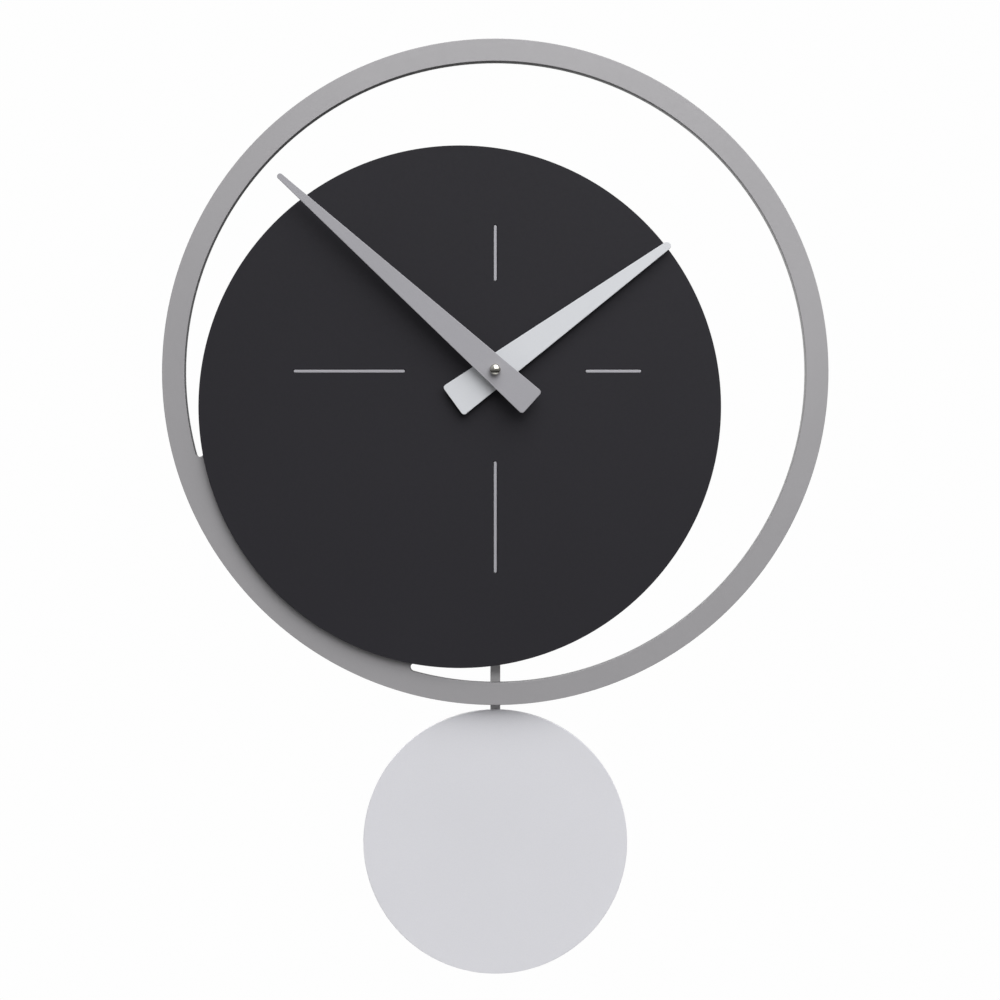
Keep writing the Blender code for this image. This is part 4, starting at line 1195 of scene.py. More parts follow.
@dataclass
class Spindle:
    """What is on the spindle: washers, nut, collets, hands and the cap nut."""

    hour_angle: float = 54.0
    minute_angle: float = -48.03
    arbor: float = 1.5 * MM
    pipe: float = 2.5 * MM
    bush: float = 4.0 * MM
    flange: float = 6.0 * MM
    flange_thickness: float = 0.8 * MM
    bush_out: tuple[float, float] = (21.3 * MM, 39.7 * MM)
    thread_depth: float = 0.28 * MM
    thread_pitch: float = 0.75 * MM
    thread_turns: int = 23
    washer: float = 8.0 * MM
    nut_across: float = 14.0 * MM
    nut_out: float = 37.4 * MM
    nut_thickness: float = 2.0 * MM
    cap_out: float = 47.7 * MM
    cap_radius: float = 3.25 * MM
    cap_length: float = 4.5 * MM

    def hands(self) -> list[Hand]:
        """Sizes the two hands.

        Returns:
            The hour hand and the minute hand.
        """
        return [
            Hand(
                "hour_hand", Body.HOUR, "pale_hand", Finish.PALE_HAND,
                out=40.2 * MM, bore=self.pipe + GAP, angle=self.hour_angle,
                reach=128.6 * MM, tail=31.1 * MM, tip_width=4.8 * MM, tail_width=21.2 * MM,
            ),
            Hand(
                "minute_hand", Body.MINUTE, "silver_hand", Finish.SILVER_HAND,
                out=46.4 * MM, bore=self.arbor + GAP, angle=self.minute_angle,
                reach=172.8 * MM, tail=29.4 * MM, tip_width=3.5 * MM, tail_width=17.7 * MM,
            ),
        ]

    def nut_outlines(self, form: bmesh.types.BMesh, out: float) -> None:
        """Draws the hexagonal nut, with its hole.

        Args:
            form: the bmesh that it is drawn in.
            out: distance from the wall.
        """
        ring(form, out, SPINDLE, self.nut_across / sqrt(3), 6)
        turn = Matrix.Rotation(pi / 6, 3, "Y")
        bmesh.ops.rotate(form, cent=(0, 0, 0), matrix=turn, verts=form.verts)
        ring(form, out, SPINDLE, self.bush + GAP, HOLE_STEPS)

    def cap(self) -> bmesh.types.BMesh:
        """Turns the domed cap nut, with a grooved foot and a blind hole.

        Returns:
            A closed bmesh.
        """
        top = self.cap_out + self.cap_length
        radius, rise = self.cap_radius, 0.6 * self.cap_radius
        bore, low, groove = self.arbor + GAP, self.cap_out, self.cap_radius - 0.15 * MM
        dome = [
            (radius * sin(radians(a)), top - rise + rise * cos(radians(a))) for a in range(0, 91, 6)
        ]
        foot = [
            (radius, low + 0.9 * MM), (groove, low + 0.8 * MM), (groove, low + 0.6 * MM),
            (radius, low + 0.5 * MM), (radius, low),
        ]
        inside = [(bore, low), (bore, top - 1.4 * MM), (0, top - 1.4 * MM)]
        return turned(dome + foot + inside, round_over=0.05 * MM)

    def threaded_bush(self) -> bmesh.types.BMesh:
        """Turns the bush: a flange inside the case and a rolled thread up to its end.

        Returns:
            A closed bmesh.
        """
        bore, crest, root = self.pipe + GAP, self.bush, self.bush - self.thread_depth
        seat, end = self.bush_out
        under = seat - self.flange_thickness
        profile = [(bore + 0.2 * MM, end), (root, end)]
        for step in range(self.thread_turns):
            high = end - 0.2 * MM - step * self.thread_pitch
            profile += [
                (crest, high - 0.2 * MM), (crest, high - 0.34 * MM), (root, high - 0.55 * MM)
            ]
        profile += [
            (root, seat), (self.flange, seat), (self.flange, under), (bore, under),
            (bore, end - 0.2 * MM),
        ]
        return turned(profile, round_over=0)

    def collet(self, bore: float, low: float, high: float) -> bmesh.types.BMesh:
        """Turns a collet pressed on a hand, with a shallow groove round it.

        Args:
            bore: radius of its hole.
            low: distance of its back from the wall.
            high: distance of its front from the wall.

        Returns:
            A closed bmesh.
        """
        outer, middle = bore + 1.1 * MM, (low + high) / 2
        profile = [
            (bore, high), (outer, high), (outer, middle + 0.25 * MM),
            (outer - 0.2 * MM, middle + 0.15 * MM), (outer - 0.2 * MM, middle - 0.15 * MM),
            (outer, middle - 0.25 * MM), (outer, low), (bore, low),
        ]
        return turned(profile, round_over=0.08 * MM)

    def build(self) -> None:
        """Builds every piece on the spindle."""
        for hand in self.hands():
            hand.build()
        hole, washer = self.bush + GAP, self.washer
        for name, out, thick, finish, slot in (
            ("rubber_washer", 25.0 * MM, 0.7 * MM, Finish.RUBBER, "black_rubber"),
            ("brass_washer", 36.6 * MM, 0.5 * MM, Finish.BRASS, "brass"),
        ):
            profile = [(hole, out + thick), (washer, out + thick), (washer, out), (hole, out)]
            made = piece(f"{name}_disc", turned(profile), finish)
            install(made, Body.MOVEMENT, slot, name)
        nut = plate(self.nut_outlines, self.nut_out, self.nut_thickness, 0.25 * MM, 3)
        install(piece("hexagon_nut", nut, Finish.BRASS), Body.MOVEMENT, "brass", "hex_nut")
        bush = piece("threaded_bush", self.threaded_bush(), Finish.BRASS, 20)
        install(bush, Body.MOVEMENT, "brass", "spindle_bush")
        for name, body, bore, low, high in (
            ("hour_hand_collet", Body.HOUR, self.pipe + GAP, 41.5 * MM, 43.4 * MM),
            ("minute_hand_collet", Body.MINUTE, self.arbor + GAP, 44.0 * MM, 46.1 * MM),
        ):
            made = piece(f"{name}_ring", self.collet(bore, low, high), Finish.NICKEL)
            install(made, body, "nickel", name)
        cap = piece("domed_cap_nut", self.cap(), Finish.NICKEL)
        install(cap, Body.MINUTE, "nickel", "cap_nut")


# ------------------------------------------------------------------ pendulum


@dataclass
class Pendulum:
    """The rocker with its magnet and peg, the rod on the peg, and the bob clipped to the rod."""

    pivot_height: float = -34.72 * MM
    magnet_height: float = -58.72 * MM
    peg_height: float = -84.52 * MM
    bob_height: float = -283.72 * MM
    rocker_out: float = 14.0 * MM
    rocker_thickness: float = 3.0 * MM
    bar_half: float = 2.0 * MM
    eyes: tuple[float, float, float] = (3.2 * MM, 6.0 * MM, 3.4 * MM)  # peg, magnet, pin
    pin_radius: float = 0.75 * MM
    magnet_radius: float = 4.0 * MM
    peg_radius: float = 1.4 * MM
    peg_head: float = 2.4 * MM
    rod_out: float = 17.3 * MM
    rod_thickness: float = 2.0 * MM
    rod_width: float = 6.0 * MM
    rod_past: float = 25.0 * MM
    bob_out: float = 19.6 * MM
    bob_radius: float = 79.8 * MM
    bob_thickness: float = 4.0 * MM
    bob_steps: int = 256
    clip_half: float = 7.0 * MM
    clip_thickness: float = 2.0 * MM
    clip_length: float = 16.0 * MM
    screw_radius: float = 1.2 * MM
    screw_head: float = 2.6 * MM

    def rocker_outlines(self, form: bmesh.types.BMesh, out: float) -> None:
        """Draws the rocker: a bar with a round eye for the peg, the magnet and the pin.

        Args:
            form: the bmesh that it is drawn in.
            out: distance from the wall.
        """
        half = self.bar_half
        low, middle, high = self.peg_height, self.magnet_height, self.pivot_height
        off = [degrees(asin(half / eye)) for eye in self.eyes]
        rise = [eye * cos(radians(angle)) for eye, angle in zip(self.eyes, off)]
        line = Outline(form, out, (half, low + rise[0])).line((half, middle - rise[1]))
        line.turn((0, middle), 180 - 2 * off[1], 20).line((half, high - rise[2]))
        line.turn((0, high), 360 - 2 * off[2], 32).line((-half, middle + rise[1]))
        line.turn((0, middle), 180 - 2 * off[1], 20).line((-half, low + rise[0]))
        line.turn((0, low), 360 - 2 * off[0], 32).close()
        ring(form, out, (0, low), self.peg_radius + GAP, 32)
        ring(form, out, (0, middle), self.magnet_radius + GAP, HOLE_STEPS)
        ring(form, out, (0, high), self.pin_radius + GAP, 24)

    def rod_outlines(self, form: bmesh.types.BMesh, out: float) -> None:
        """Draws the rod and the hole that hangs on the peg.

        Args:
            form: the bmesh that they are drawn in.
            out: distance from the wall.
        """
        low, high = (0, self.bob_height - self.rod_past), (0, self.peg_height)
        slot_outline(form, out, low, high, self.rod_width)
        ring(form, out, high, self.peg_radius + GAP, 32)

    def peg(self) -> bmesh.types.BMesh:
        """Turns the hook peg: a riveted foot behind the rocker and a head in front of the rod.

        Returns:
            A closed bmesh.
        """
        back = self.rod_out + self.rod_thickness + GAP
        front, foot = back + 0.8 * MM, self.rocker_out - 1.5 * MM
        profile = [
            (0, front), (self.peg_head * 0.7, front - 0.08 * MM),
            (self.peg_head, front - 0.35 * MM), (self.peg_head, back), (self.peg_radius, back),
            (self.peg_radius, foot + 0.4 * MM), (self.peg_radius - 0.4 * MM, foot), (0, foot),
        ]
        return turned(profile, (0, self.peg_height), 0.08 * MM)

    def clip_section(self, form: bmesh.types.BMesh, away: float) -> None:
        """Draws the clip's section, as (x, out).

        Args:
            form: the bmesh that it is drawn in.
            away: distance of the section from the clip's middle.
        """
        half, inner, bend = self.clip_half, self.rod_width / 2 + GAP, 0.8 * MM
        front, back = self.bob_out - GAP, self.rod_out - GAP
        rear = back - self.clip_thickness
        line = Outline(form, away, (half - bend, rear)).turn((half - bend, rear + bend), 90, 6)
        line.line((half, front), (inner, front), (inner, back), (-inner, back), (-inner, front))
        line.line((-half, front), (-half, rear + bend)).turn((bend - half, rear + bend), 90, 6)
        line.close()

    def clip(self) -> bpy.types.Object:
        """Bends the channel that holds the rod against the bob, and drills its screw hole.

        Returns:
            The channel.
        """
        section = plate(self.clip_section, -self.clip_length / 2, self.clip_length, 0.2 * MM, 3)
        made = piece("bob_channel", level(section, self.bob_height), Finish.STEEL)
        back, hole = self.rod_out - GAP, self.screw_radius + GAP
        rear, past = back - self.clip_thickness, back + 1 * MM
        profile = [
            (0, past), (hole, past), (hole, rear + 0.5 * MM),
            (hole + 0.9 * MM, rear - 0.4 * MM), (0, rear - 0.4 * MM),
        ]
        return shaded(carved(made, [turned(profile, (0, self.bob_height), 0)]), 35)

    def screw(self) -> bpy.types.Object:
        """Turns the pan-head screw behind the clip, and cuts its cross recess.

        Returns:
            The screw.
        """
        tip = self.rod_out - GAP
        under = tip - self.clip_thickness - GAP
        top = under - 1.6 * MM
        radius, place = self.screw_radius, (0, self.bob_height)
        profile = [
            (0, tip), (radius, tip), (radius, under), (self.screw_head, under),
            (self.screw_head, under - 0.8 * MM), (self.screw_head * 0.8, top + 0.18 * MM),
            (self.screw_head * 0.45, top), (0, top),
        ]
        made = piece("clip_screw", turned(profile, place, 0.12 * MM, 48), Finish.STEEL)
        return shaded(carved(made, cross_recess(place, top, 3.0 * MM, 0.7 * MM)), 35)

    def build(self) -> None:
        """Builds everything that swings."""
        rocker = plate(self.rocker_outlines, self.rocker_out, self.rocker_thickness, 0.3 * MM, 3)
        back, front = self.rocker_out, self.rocker_out + self.rocker_thickness
        radius = self.magnet_radius
        disc = [(0, front), (radius, front), (radius, back), (0, back)]
        magnet = turned(disc, (0, self.magnet_height), 0.3 * MM)
        rod = plate(self.rod_outlines, self.rod_out, self.rod_thickness, 0.25 * MM, 3)
        draw = partial(
            ring, middle=(0, self.bob_height), radius=self.bob_radius, sides=self.bob_steps
        )
        bob = plate(draw, self.bob_out, self.bob_thickness, 0.3 * MM, 3)
        for name, form, finish, slot, node in (
            ("rocker_bar", rocker, Finish.WHITE, "white_plastic", "rocker_arm"),
            ("magnet_disc", magnet, Finish.MAGNET, "magnet_metal", "rocker_magnet"),
            ("riveted_peg", self.peg(), Finish.NICKEL, "nickel", "hook_peg"),
            ("rod_strip", rod, Finish.ROD, "rod_steel", "pendulum_rod"),
            ("bob_disc", bob, Finish.PALE_BOARD, "pale_board", "pendulum_bob"),
        ):
            install(piece(name, form, finish), Body.PENDULUM, slot, node)
        install(self.clip(), Body.PENDULUM, "steel", "bob_clip")
        install(self.screw(), Body.PENDULUM, "steel", "bob_screw")


# ------------------------------------------------------------------ movement


@dataclass
class Movement:
    """The movement case with its cover and screws, the setting knob, the battery and contacts."""

    half: float = 30.0 * MM
    wall: float = 1.8 * MM
    low: float = -80.52 * MM
    high: float = 36.08 * MM
    out: float = 23.4 * MM
    back: float = 1.8 * MM
    corner: float = 3.0 * MM
    cover_thickness: float = 1.5 * MM
    bay: tuple[float, float] = (-28.42 * MM, -12.62 * MM)
    bay_out: float = 16.8 * MM
    slot_half: float = 8.0 * MM
    slot_out: tuple[float, float] = (12.0 * MM, 18.5 * MM)
    bush_hole: float = 4.3 * MM
    post_at: Place = (-10.392 * MM, 6.0 * MM)
    post_out: tuple[float, float] = (17.1 * MM, 22.5 * MM)
    post_radius: float = 0.7 * MM
    setting_at: Place = (-21.669 * MM, 10.104 * MM)
    knob_radius: float = 5.4 * MM
    knob_out: tuple[float, float] = (0.4 * MM, 2.6 * MM)
    stem_radius: float = 0.7 * MM
    stem_end: float = 19.7 * MM
    leaf_out: tuple[float, float] = (17.1 * MM, 18.9 * MM)
    cell_out: float = 9.3 * MM
    cell_length: float = 50.0 * MM
    cell_radius: float = 7.1 * MM
    contact_width: float = 8.0 * MM
    contact_thickness: float = 0.4 * MM
    screw_at: tuple[float, float, float] = (25.4 * MM, -75.9 * MM, 31.5 * MM)  # x, low, high
    rib_low: float = 8.0 * MM
    rib_pitch: float = 3.0 * MM
    rib_count: int = 7
    vent_low: float = 14.0 * MM
    vent_pitch: float = 3.2 * MM
    vent_count: int = 5
    flute_count: int = 24
    leaf_count: int = 10
    leaf_phase: float = 10.0  # degrees
    leaf_sizes: tuple[float, float, float] = (2.37 * MM, 3.0 * MM, 3.42 * MM)  # root, pitch, tip

    @property
    def inside(self) -> tuple[float, float]:
        """Left and right of the chambers."""
        return (self.wall - self.half, self.half - self.wall)

    @property
    def cell_height(self) -> float:
        """Height of the cell's axis."""
        return sum(self.bay) / 2

    @property
    def screws(self) -> list[Place]:
        """Places of the four cover screws."""
        x, low, high = self.screw_at
        return [(-x, low), (-x, high), (x, low), (x, high)]

    def shell(self) -> bpy.types.Object:
        """Moulds the front case: three chambers, a slot for the rocker, ribs and a post.

        Returns:
            The case.
        """
        form = box_form(
            (-self.half, self.half), (self.back, self.out), (self.low, self.high),
            0.5 * MM, self.corner,
        )
        made = piece("case_moulding", form, Finish.CASE)
        deep = self.out - self.wall
        chambers = [
            (0, deep, (self.bay[1] + self.wall, self.high - self.wall)),
            (0, self.bay_out, self.bay),
            (0, deep, (self.low + self.wall, self.bay[0] - self.wall)),
        ]
        tools = [
            box_form(self.inside, (near, far), up, 0.3 * MM, 1.4 * MM) for near, far, up in chambers
        ]
        mouth = (self.low - self.wall, self.low + 2 * self.wall)
        tools.append(
            box_form((-self.slot_half, self.slot_half), self.slot_out, mouth, 0.4 * MM)
        )
        radius, inner = self.bush_hole, 15.0 * MM
        hole = [
            (0, self.out + 1 * MM), (radius + 0.5 * MM, self.out + 0.1 * MM),
            (radius, self.out - 0.4 * MM), (radius, inner), (0, inner),
        ]
        tools.append(turned(hole, round_over=0))
        for x in (-self.half, self.half):
            across = (x - 0.35 * MM, x + 0.35 * MM)
            for step in range(self.rib_count):
                z = self.rib_low + self.rib_pitch * step
                tools.append(box_form(across, (4.5 * MM, 20.0 * MM), (z, z + 1.3 * MM), 0.2 * MM))
        carved(made, tools)
        (low, high), radius = self.post_out, self.post_radius
        post = [(0, high), (radius, high), (radius, low), (0, low)]
        return shaded(carved(made, [turned(post, self.post_at, 0.08 * MM, 24)], Carve.JOIN), 30)

    def cover_outlines(self, form: bmesh.types.BMesh, out: float) -> None:
        """Draws the cover with its knob hole and its battery window.

        Args:
            form: the bmesh that they are drawn in.
            out: distance from the wall.
        """
        rounded_box(form, out, (-self.half, self.half), (self.low, self.high), self.corner)
        ring(form, out, self.setting_at, self.knob_radius + 2 * GAP, 64)
        window = self.cell_length / 2 + 1.5 * MM
        up = (self.bay[0] + 0.6 * MM, self.bay[1] - 0.6 * MM)
        rounded_box(form, out, (-window, window), up, 1.0 * MM)

    def cover(self) -> bpy.types.Object:
        """Moulds the rear cover, with a sunk panel, a ring round the knob, grooves and vents.

        Returns:
            The cover.
        """
        form = plate(self.cover_outlines, 0, self.cover_thickness, 0.3 * MM, 3)
        made = piece("cover_moulding", form, Finish.CASE)
        panel = partial(
            rounded_box, across=(-21 * MM, 21 * MM), up=(-68 * MM, -38 * MM), corner=2.5 * MM
        )
        clear = -0.4 * MM
        (inner, outer), deep = (7.4 * MM, 8.0 * MM), 0.35 * MM
        groove = [(inner, deep), (outer, deep), (outer, clear), (inner, clear)]
        tools = [
            plate(panel, -0.6 * MM, 0.9 * MM, 0.1 * MM, 2),
            turned(groove, self.setting_at, 0.08 * MM),
        ]
        sink = [(0, 1.1 * MM), (2.9 * MM, 1.1 * MM), (3.1 * MM, clear), (0, clear)]
        tools += [turned(sink, place, 0.08 * MM, 48) for place in self.screws]
        for z in (self.bay[0] - 2.0 * MM, self.bay[1] + 2.0 * MM):
            rib = partial(slot_outline, near=(-24 * MM, z), far=(24 * MM, z), width=0.7 * MM)
            tools.append(plate(rib, clear, 0.7 * MM, 0.08 * MM, 2))
        for step in range(self.vent_count):
            z = self.vent_low + self.vent_pitch * step
            vent = partial(slot_outline, near=(2 * MM, z), far=(20 * MM, z), width=1.4 * MM)
            tools.append(plate(vent, clear, 1.2 * MM, 0.1 * MM, 2))
        return shaded(carved(made, tools), 30)

    def cover_screw(self, place: Place, number: int) -> bpy.types.Object:
        """Turns a pan-head screw that is sunk in the cover.

        Args:
            place: x and z of its middle.
            number: its number in its name.

        Returns:
            The screw.
        """
        profile = [
            (0, 1.05 * MM), (2.4 * MM, 1.05 * MM), (2.4 * MM, 0.55 * MM), (1.9 * MM, 0.18 * MM),
            (1.0 * MM, 0.08 * MM), (0, 0.06 * MM),
        ]
        made = piece(f"cover_screw_{number}", turned(profile, place, 0.06 * MM, 40), Finish.STEEL)
        return shaded(carved(made, cross_recess(place, 0.06 * MM, 2.6 * MM, 0.55 * MM)), 35)

    def flutes(self, form: bmesh.types.BMesh, out: float) -> None:
        """Draws the fluted edge of the knob.

        Args:
            form: the bmesh that it is drawn in.
            out: distance from the wall.
        """
        outer, inner = self.knob_radius, self.knob_radius - 0.4 * MM
        line = Outline(form, out, polar(self.setting_at, outer, -4))
        for step in range(self.flute_count):
            angle = 360 / self.flute_count * step
            line.line(*(polar(self.setting_at, outer, angle + off) for off in (0, 4)))
            line.line(*(polar(self.setting_at, inner, angle + off) for off in (6.5, 8.5)))
            if step < self.flute_count - 1:
                line.line(polar(self.setting_at, outer, angle + 11))
        line.close()

    def leaves(self, form: bmesh.types.BMesh, out: float) -> None:
        """Draws the leaves of the knob's pinion.

        Args:
            form: the bmesh that they are drawn in.
            out: distance from the wall.
        """
        root, pitch, tip = self.leaf_sizes
        half = ((root, 9.7), (pitch, 6.4), (tip, 3.9))
        corners = [(radius, -off) for radius, off in half] + list(reversed(half))
        places = [
            polar(self.setting_at, radius, self.leaf_phase + 360 / self.leaf_count * step + off)
            for step in range(self.leaf_count)
            for radius, off in corners
        ]
        Outline(form, out, places[0]).line(*places[1:]).close()

    def knob(self) -> bpy.types.Object:
        """Moulds the setting knob: a fluted grip with a dish, a stem and its pinion.

        Returns:
            The knob.
        """
        low, high = self.knob_out
        grip = plate(self.flutes, low, high - low, 0.2 * MM, 3)
        made = piece("setting_grip", grip, Finish.WHITE)
        floor, above = low + 0.5 * MM, low - 0.5 * MM
        dish = [(0, floor), (3.2 * MM, floor), (3.8 * MM, above), (0, above)]
        radius, end, foot = self.stem_radius, self.stem_end, high - 0.3 * MM
        stem = [(0, end), (radius, end), (radius, foot), (0, foot)]
        near, far = self.leaf_out
        carved(made, [turned(dish, self.setting_at, 0.15 * MM)])
        added = [
            turned(stem, self.setting_at, 0.08 * MM, 24),
            plate(self.leaves, near, far - near, 0.06 * MM, 2),
        ]
        return shaded(carved(made, added, Carve.JOIN), 35)

    def cell(self) -> bmesh.types.BMesh:
        """Turns the battery: a crimped sleeve, a seal step and the positive nub.

        Returns:
            A closed bmesh that lies along X.
        """
        half, radius = self.cell_length / 2, self.cell_radius
        shoulder, nub = half - 1.2 * MM, 2.7 * MM
        profile = [
            (0, half), (nub - 0.3 * MM, half), (nub, half - 0.3 * MM), (nub, shoulder - 0.1 * MM),
            (nub + 1.4 * MM, shoulder - 0.1 * MM), (nub + 1.6 * MM, shoulder),
            (radius - 0.7 * MM, shoulder), (radius - 0.15 * MM, shoulder - 0.2 * MM),
            (radius, shoulder - 0.8 * MM), (radius, 0.9 * MM - half),
            (radius - 0.2 * MM, 0.25 * MM - half), (radius - 0.8 * MM, 0.05 * MM - half),
            (radius - 1.1 * MM, 0.3 * MM - half), (4.4 * MM, 0.3 * MM - half),
            (4.0 * MM, -half), (0, -half),
        ]
        form = turned(profile, round_over=0.08 * MM, sides=96)
        return to_right(form, self.cell_out, self.cell_height)

    def contact(self, side: int) -> bmesh.types.BMesh:
        """Bends the contact strip at one end of the cell.

        Args:
            side: -1 for the left end, 1 for the right end.

        Returns:
            A closed bmesh.
        """
        wall, bump = self.half - self.wall - GAP, self.cell_length / 2 + GAP
        out, thick = self.cell_out, self.contact_thickness
        route = [
            (wall, out + 5.0 * MM), (wall, out + 2.5 * MM), (bump + thick, out + 0.8 * MM),
            (bump + thick, out - 0.8 * MM), (wall, out - 2.5 * MM), (wall, out - 5.0 * MM),
        ]
        edge = route + [(x - thick, away) for x, away in reversed(route)]
        start, *others = [(side * x, away) for x, away in edge]

        def section(form: bmesh.types.BMesh, away: float) -> None:
            """Draws the strip's section, as (x, out)."""
            Outline(form, away, start).line(*others).close()

        half = self.contact_width / 2
        return level(plate(section, -half, self.contact_width, 0.08 * MM, 2), self.cell_height)

    def inner_works(self) -> None:
        """Gives the solids inside the case their finishes."""
        dress(
            Finish.WHITE, "middle_plate", "train_plate", "hour_wheel", "centre_wheel",
            "minute_wheel", "third_wheel", "second_wheel", "intermediate_wheel", "rotor_pinion",
            "coil_bobbin", "drive_bobbin",
        )
        dress(Finish.BRASS, "cannon_pinion")
        dress(
            Finish.STEEL, "stator", "coil_core", "stator_screw_left", "stator_screw_right",
            "rocker_pin", "quartz_crystal",
        )
        dress(Finish.MAGNET, "rotor_magnet")
        dress(Finish.COIL_WIRE, "coil_winding")
        dress(Finish.DRIVE_WIRE, "drive_winding")
        dress(Finish.LAMINATE, "circuit_board", "drive_board")
        dress(Finish.CHIP, "clock_chip")

    def build(self) -> None:
        """Builds the pieces of the movement that show, and dresses the ones inside."""
        install(self.shell(), Body.MOVEMENT, "case_plastic", "front_case")
        install(self.cover(), Body.MOVEMENT, "case_plastic", "rear_cover")
        for number, place in enumerate(self.screws, 1):
            install(self.cover_screw(place, number), Body.MOVEMENT, "steel")
        install(self.knob(), Body.SETTING_KNOB, "white_plastic", "setting_knob")
        cell = piece("dry_cell", self.cell(), Finish.SLEEVE)
        install(cell, Body.BATTERY, "battery_sleeve", "battery")
        for name, side in (("contact_negative", -1), ("contact_positive", 1)):
            made = piece(f"{name}_strip", self.contact(side), Finish.NICKEL, 25)
            install(made, Body.MOVEMENT, "nickel", name)
        self.inner_works()


@dataclass
class Hanger:
    """The bent steel strip that carries the clock, with a keyhole near the wall."""

    width: float = 30.0 * MM
    thickness: float = 1.0 * MM
    out: float = 23.7 * MM
    back: float = 2.0 * MM
    low: float = -12.0 * MM
    over: float = 36.38 * MM
    rise: float = 25.0 * MM
    bush_hole: float = 4.3 * MM
    entry: float = 4.5 * MM
    slot: float = 4.4 * MM
    keyhole_rise: float = 9.0 * MM
    bends: tuple[float, float] = (0.6 * MM, 1.6 * MM)  # inner and outer radius

    @property
    def top(self) -> float:
        """Height of the flange's upper edge."""
        return self.over + self.thickness + self.rise

    def section(self, form: bmesh.types.BMesh, away: float) -> None:
        """Draws the strip's bent section, as (out, z).

        Args:
            form: the bmesh that it is drawn in.
            away: distance of the section from the strip's middle.
        """
        (inner, outer), back, over, top = self.bends, self.back, self.over, self.top
        front, rear, step = self.out + self.thickness, back + self.thickness, over + self.thickness
        line = Outline(form, away, (front, self.low)).line((front, step - outer))
        line.turn((front - outer, step - outer), 90, 8).line((rear + inner, step))
        line.turn((rear + inner, step + inner), -90, 8).line((rear, top), (back, top))
        line.line((back, over + outer)).turn((back + outer, over + outer), 90, 8)
        line.line((self.out - inner, over)).turn((self.out - inner, over - inner), -90, 8)
        line.line((self.out, self.low)).close()

    def build(self) -> None:
        """Bends the strip, rounds its corners, and cuts the bush hole and the keyhole."""
        half = self.width / 2
        strip = sideways(plate(self.section, -half, self.width, 0.15 * MM, 3))
        made = piece("hanging_strip", strip, Finish.STEEL)
        blank = partial(
            rounded_box, across=(-half, half), up=(self.low, self.top), corner=4.0 * MM
        )
        carved(made, [plate(blank, -1 * MM, 30 * MM, 0.2 * MM, 2)], Carve.KEEP)
        entry = (0, self.over + self.keyhole_rise)
        rest = (0, entry[1] + self.keyhole_rise)
        bush_hole = partial(ring, middle=SPINDLE, radius=self.bush_hole, sides=HOLE_STEPS)
        key_hole = partial(ring, middle=entry, radius=self.entry, sides=HOLE_STEPS)
        slot = partial(slot_outline, near=entry, far=rest, width=self.slot)
        tools = [
            plate(bush_hole, 20 * MM, 8 * MM, 0.2 * MM, 2),
            plate(key_hole, 0, 6 * MM, 0.2 * MM, 2),
        ]
        carved(carved(made, tools), [plate(slot, 0, 6 * MM, 0.2 * MM, 2)])
        install(shaded(made, 30), Body.MOVEMENT, "steel", "hanger_bracket")


# ------------------------------------------------------------------ studio


@dataclass(frozen=True)
class Softbox:
    """A square lamp that points at the clock."""

    name: str
    place: tuple[float, float, float]
    size: float
    watts: float


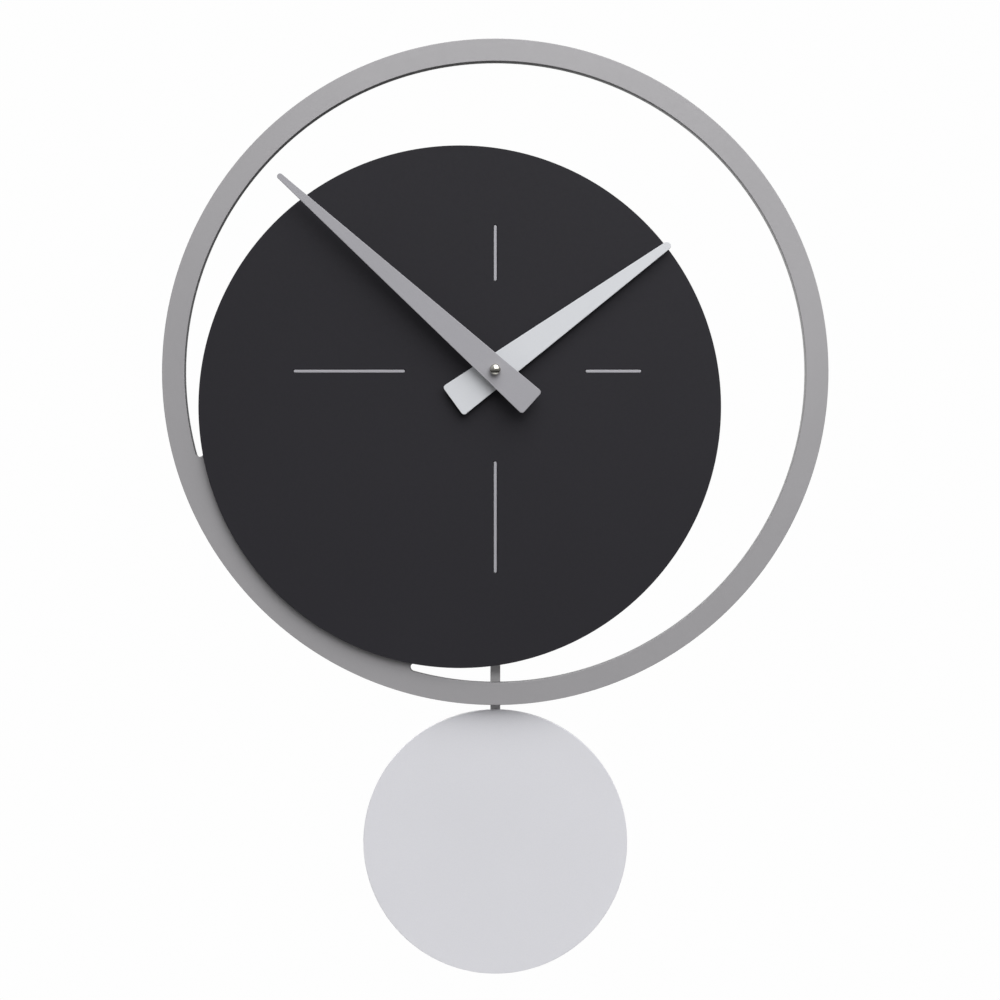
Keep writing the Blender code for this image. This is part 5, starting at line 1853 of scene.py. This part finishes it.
@dataclass
class Studio:
    """Camera, lights, plain white surroundings and a pale floor."""

    eye: tuple[float, float, float] = (0.00285, -1.049, -0.07695)
    lens: float = 61.02
    sensor: float = 36.0
    aim: tuple[float, float, float] = (0, 0, -0.08)
    white: float = 0.99
    dome_from: tuple[float, float] = (-0.4, 0.04)  # height of a direction, and its strength
    dome_to: tuple[float, float] = (0.8, 0.62)
    floor_height: float = -1.1
    floor_radius: float = 1.3
    floor_fades: float = 0.5
    lights: tuple[Softbox, ...] = (
        Softbox("key_softbox", (0.75, -2.0, 2.0), 3.2, 106.0),
        Softbox("top_softbox", (0.3, -0.6, 2.4), 1.6, 8.0),
        Softbox("rear_softbox", (-0.7, 1.5, 0.3), 1.4, 12.0),
    )

    def camera(self) -> None:
        """Places the camera straight in front."""
        data = bpy.data.cameras.new("camera")
        data.lens, data.sensor_width = self.lens, self.sensor
        data.clip_start, data.clip_end = 0.01, 50.0
        made = bpy.data.objects.new("camera", data)
        made.location, made.rotation_euler = self.eye, (pi / 2, 0, 0)
        bpy.context.scene.collection.objects.link(made)
        bpy.context.scene.camera = made

    def light(self, box: Softbox) -> None:
        """Hangs a softbox.

        Args:
            box: the lamp.
        """
        data = bpy.data.lights.new(box.name, "AREA")
        data.shape, data.size, data.energy = "SQUARE", box.size, box.watts
        made = bpy.data.objects.new(box.name, data)
        made.location = box.place
        aim = Vector(self.aim) - Vector(box.place)
        made.rotation_euler = aim.to_track_quat("-Z", "Y").to_euler()
        bpy.context.scene.collection.objects.link(made)

    def surroundings(self) -> None:
        """White behind the clock, and a dimmer dome over it for its reflections."""
        world = bpy.data.worlds.new("studio")
        bpy.context.scene.world = world
        world.use_nodes = True
        tree = world.node_tree
        new, link = tree.nodes.new, tree.links.new
        split, rise = new("ShaderNodeSeparateXYZ"), new("ShaderNodeMapRange")
        link(new("ShaderNodeTexCoord").outputs["Generated"], split.inputs[0])
        link(split.outputs["Z"], rise.inputs["Value"])
        for end, (height, strength) in (("Min", self.dome_from), ("Max", self.dome_to)):
            rise.inputs[f"From {end}"].default_value = height
            rise.inputs[f"To {end}"].default_value = strength
        dome, white = tree.nodes["Background"], new("ShaderNodeBackground")
        link(rise.outputs["Result"], dome.inputs["Strength"])
        dome.inputs["Color"].default_value = (1, 1, 1, 1)
        white.inputs["Color"].default_value = (*(self.white,) * 3, 1)
        seen, pick = new("ShaderNodeLightPath"), new("ShaderNodeMixShader")
        link(seen.outputs["Is Camera Ray"], pick.inputs["Fac"])
        link(dome.outputs[0], pick.inputs[1])
        link(white.outputs[0], pick.inputs[2])
        link(pick.outputs[0], tree.nodes["World Output"].inputs["Surface"])

    def floor(self) -> None:
        """A pale floor well below, which fades out before it reaches the view from the front."""
        form = bmesh.new()
        matrix = Matrix.Translation((0, 0, self.floor_height))
        bmesh.ops.create_circle(
            form, cap_ends=True, segments=96, radius=self.floor_radius, matrix=matrix
        )
        mesh = bpy.data.meshes.new("floor")
        form.to_mesh(mesh)
        form.free()
        made = bpy.data.objects.new("floor", mesh)
        bpy.context.scene.collection.objects.link(made)
        work = Brushwork("pale_floor")
        away = work.add("ShaderNodeVectorMath", operation="LENGTH")
        flat = work.add("ShaderNodeVectorMath", operation="MULTIPLY")
        work.feed(flat.inputs[0], work.place)
        work.feed(flat.inputs[1], (1, 1, 0))
        work.feed(away.inputs[0], flat.outputs[0])
        work.surface(
            Base_Color=(0.8, 0.8, 0.8), Roughness=0.8,
            Alpha=work.ranged(
                away.outputs["Value"], 1.0, 0.0, self.floor_fades, self.floor_radius
            ),
        )
        mesh.materials.append(work.material)

    def build(self) -> None:
        """Sets the stage."""
        scene = bpy.context.scene
        scene.view_settings.view_transform = "Standard"
        scene.view_settings.look = "None"
        self.camera()
        for box in self.lights:
            self.light(box)
        self.surroundings()
        self.floor()


def main() -> None:
    """Builds the clock and reports each piece."""
    logging.basicConfig(level=logging.INFO, format="%(name)s: %(message)s")
    Studio().build()
    for assembly in (RingPlate(), Dial(), Spindle(), Pendulum(), Movement(), Hanger()):
        log.info("building %s", type(assembly).__name__)
        assembly.build()


if __name__ == "__main__":
    main()
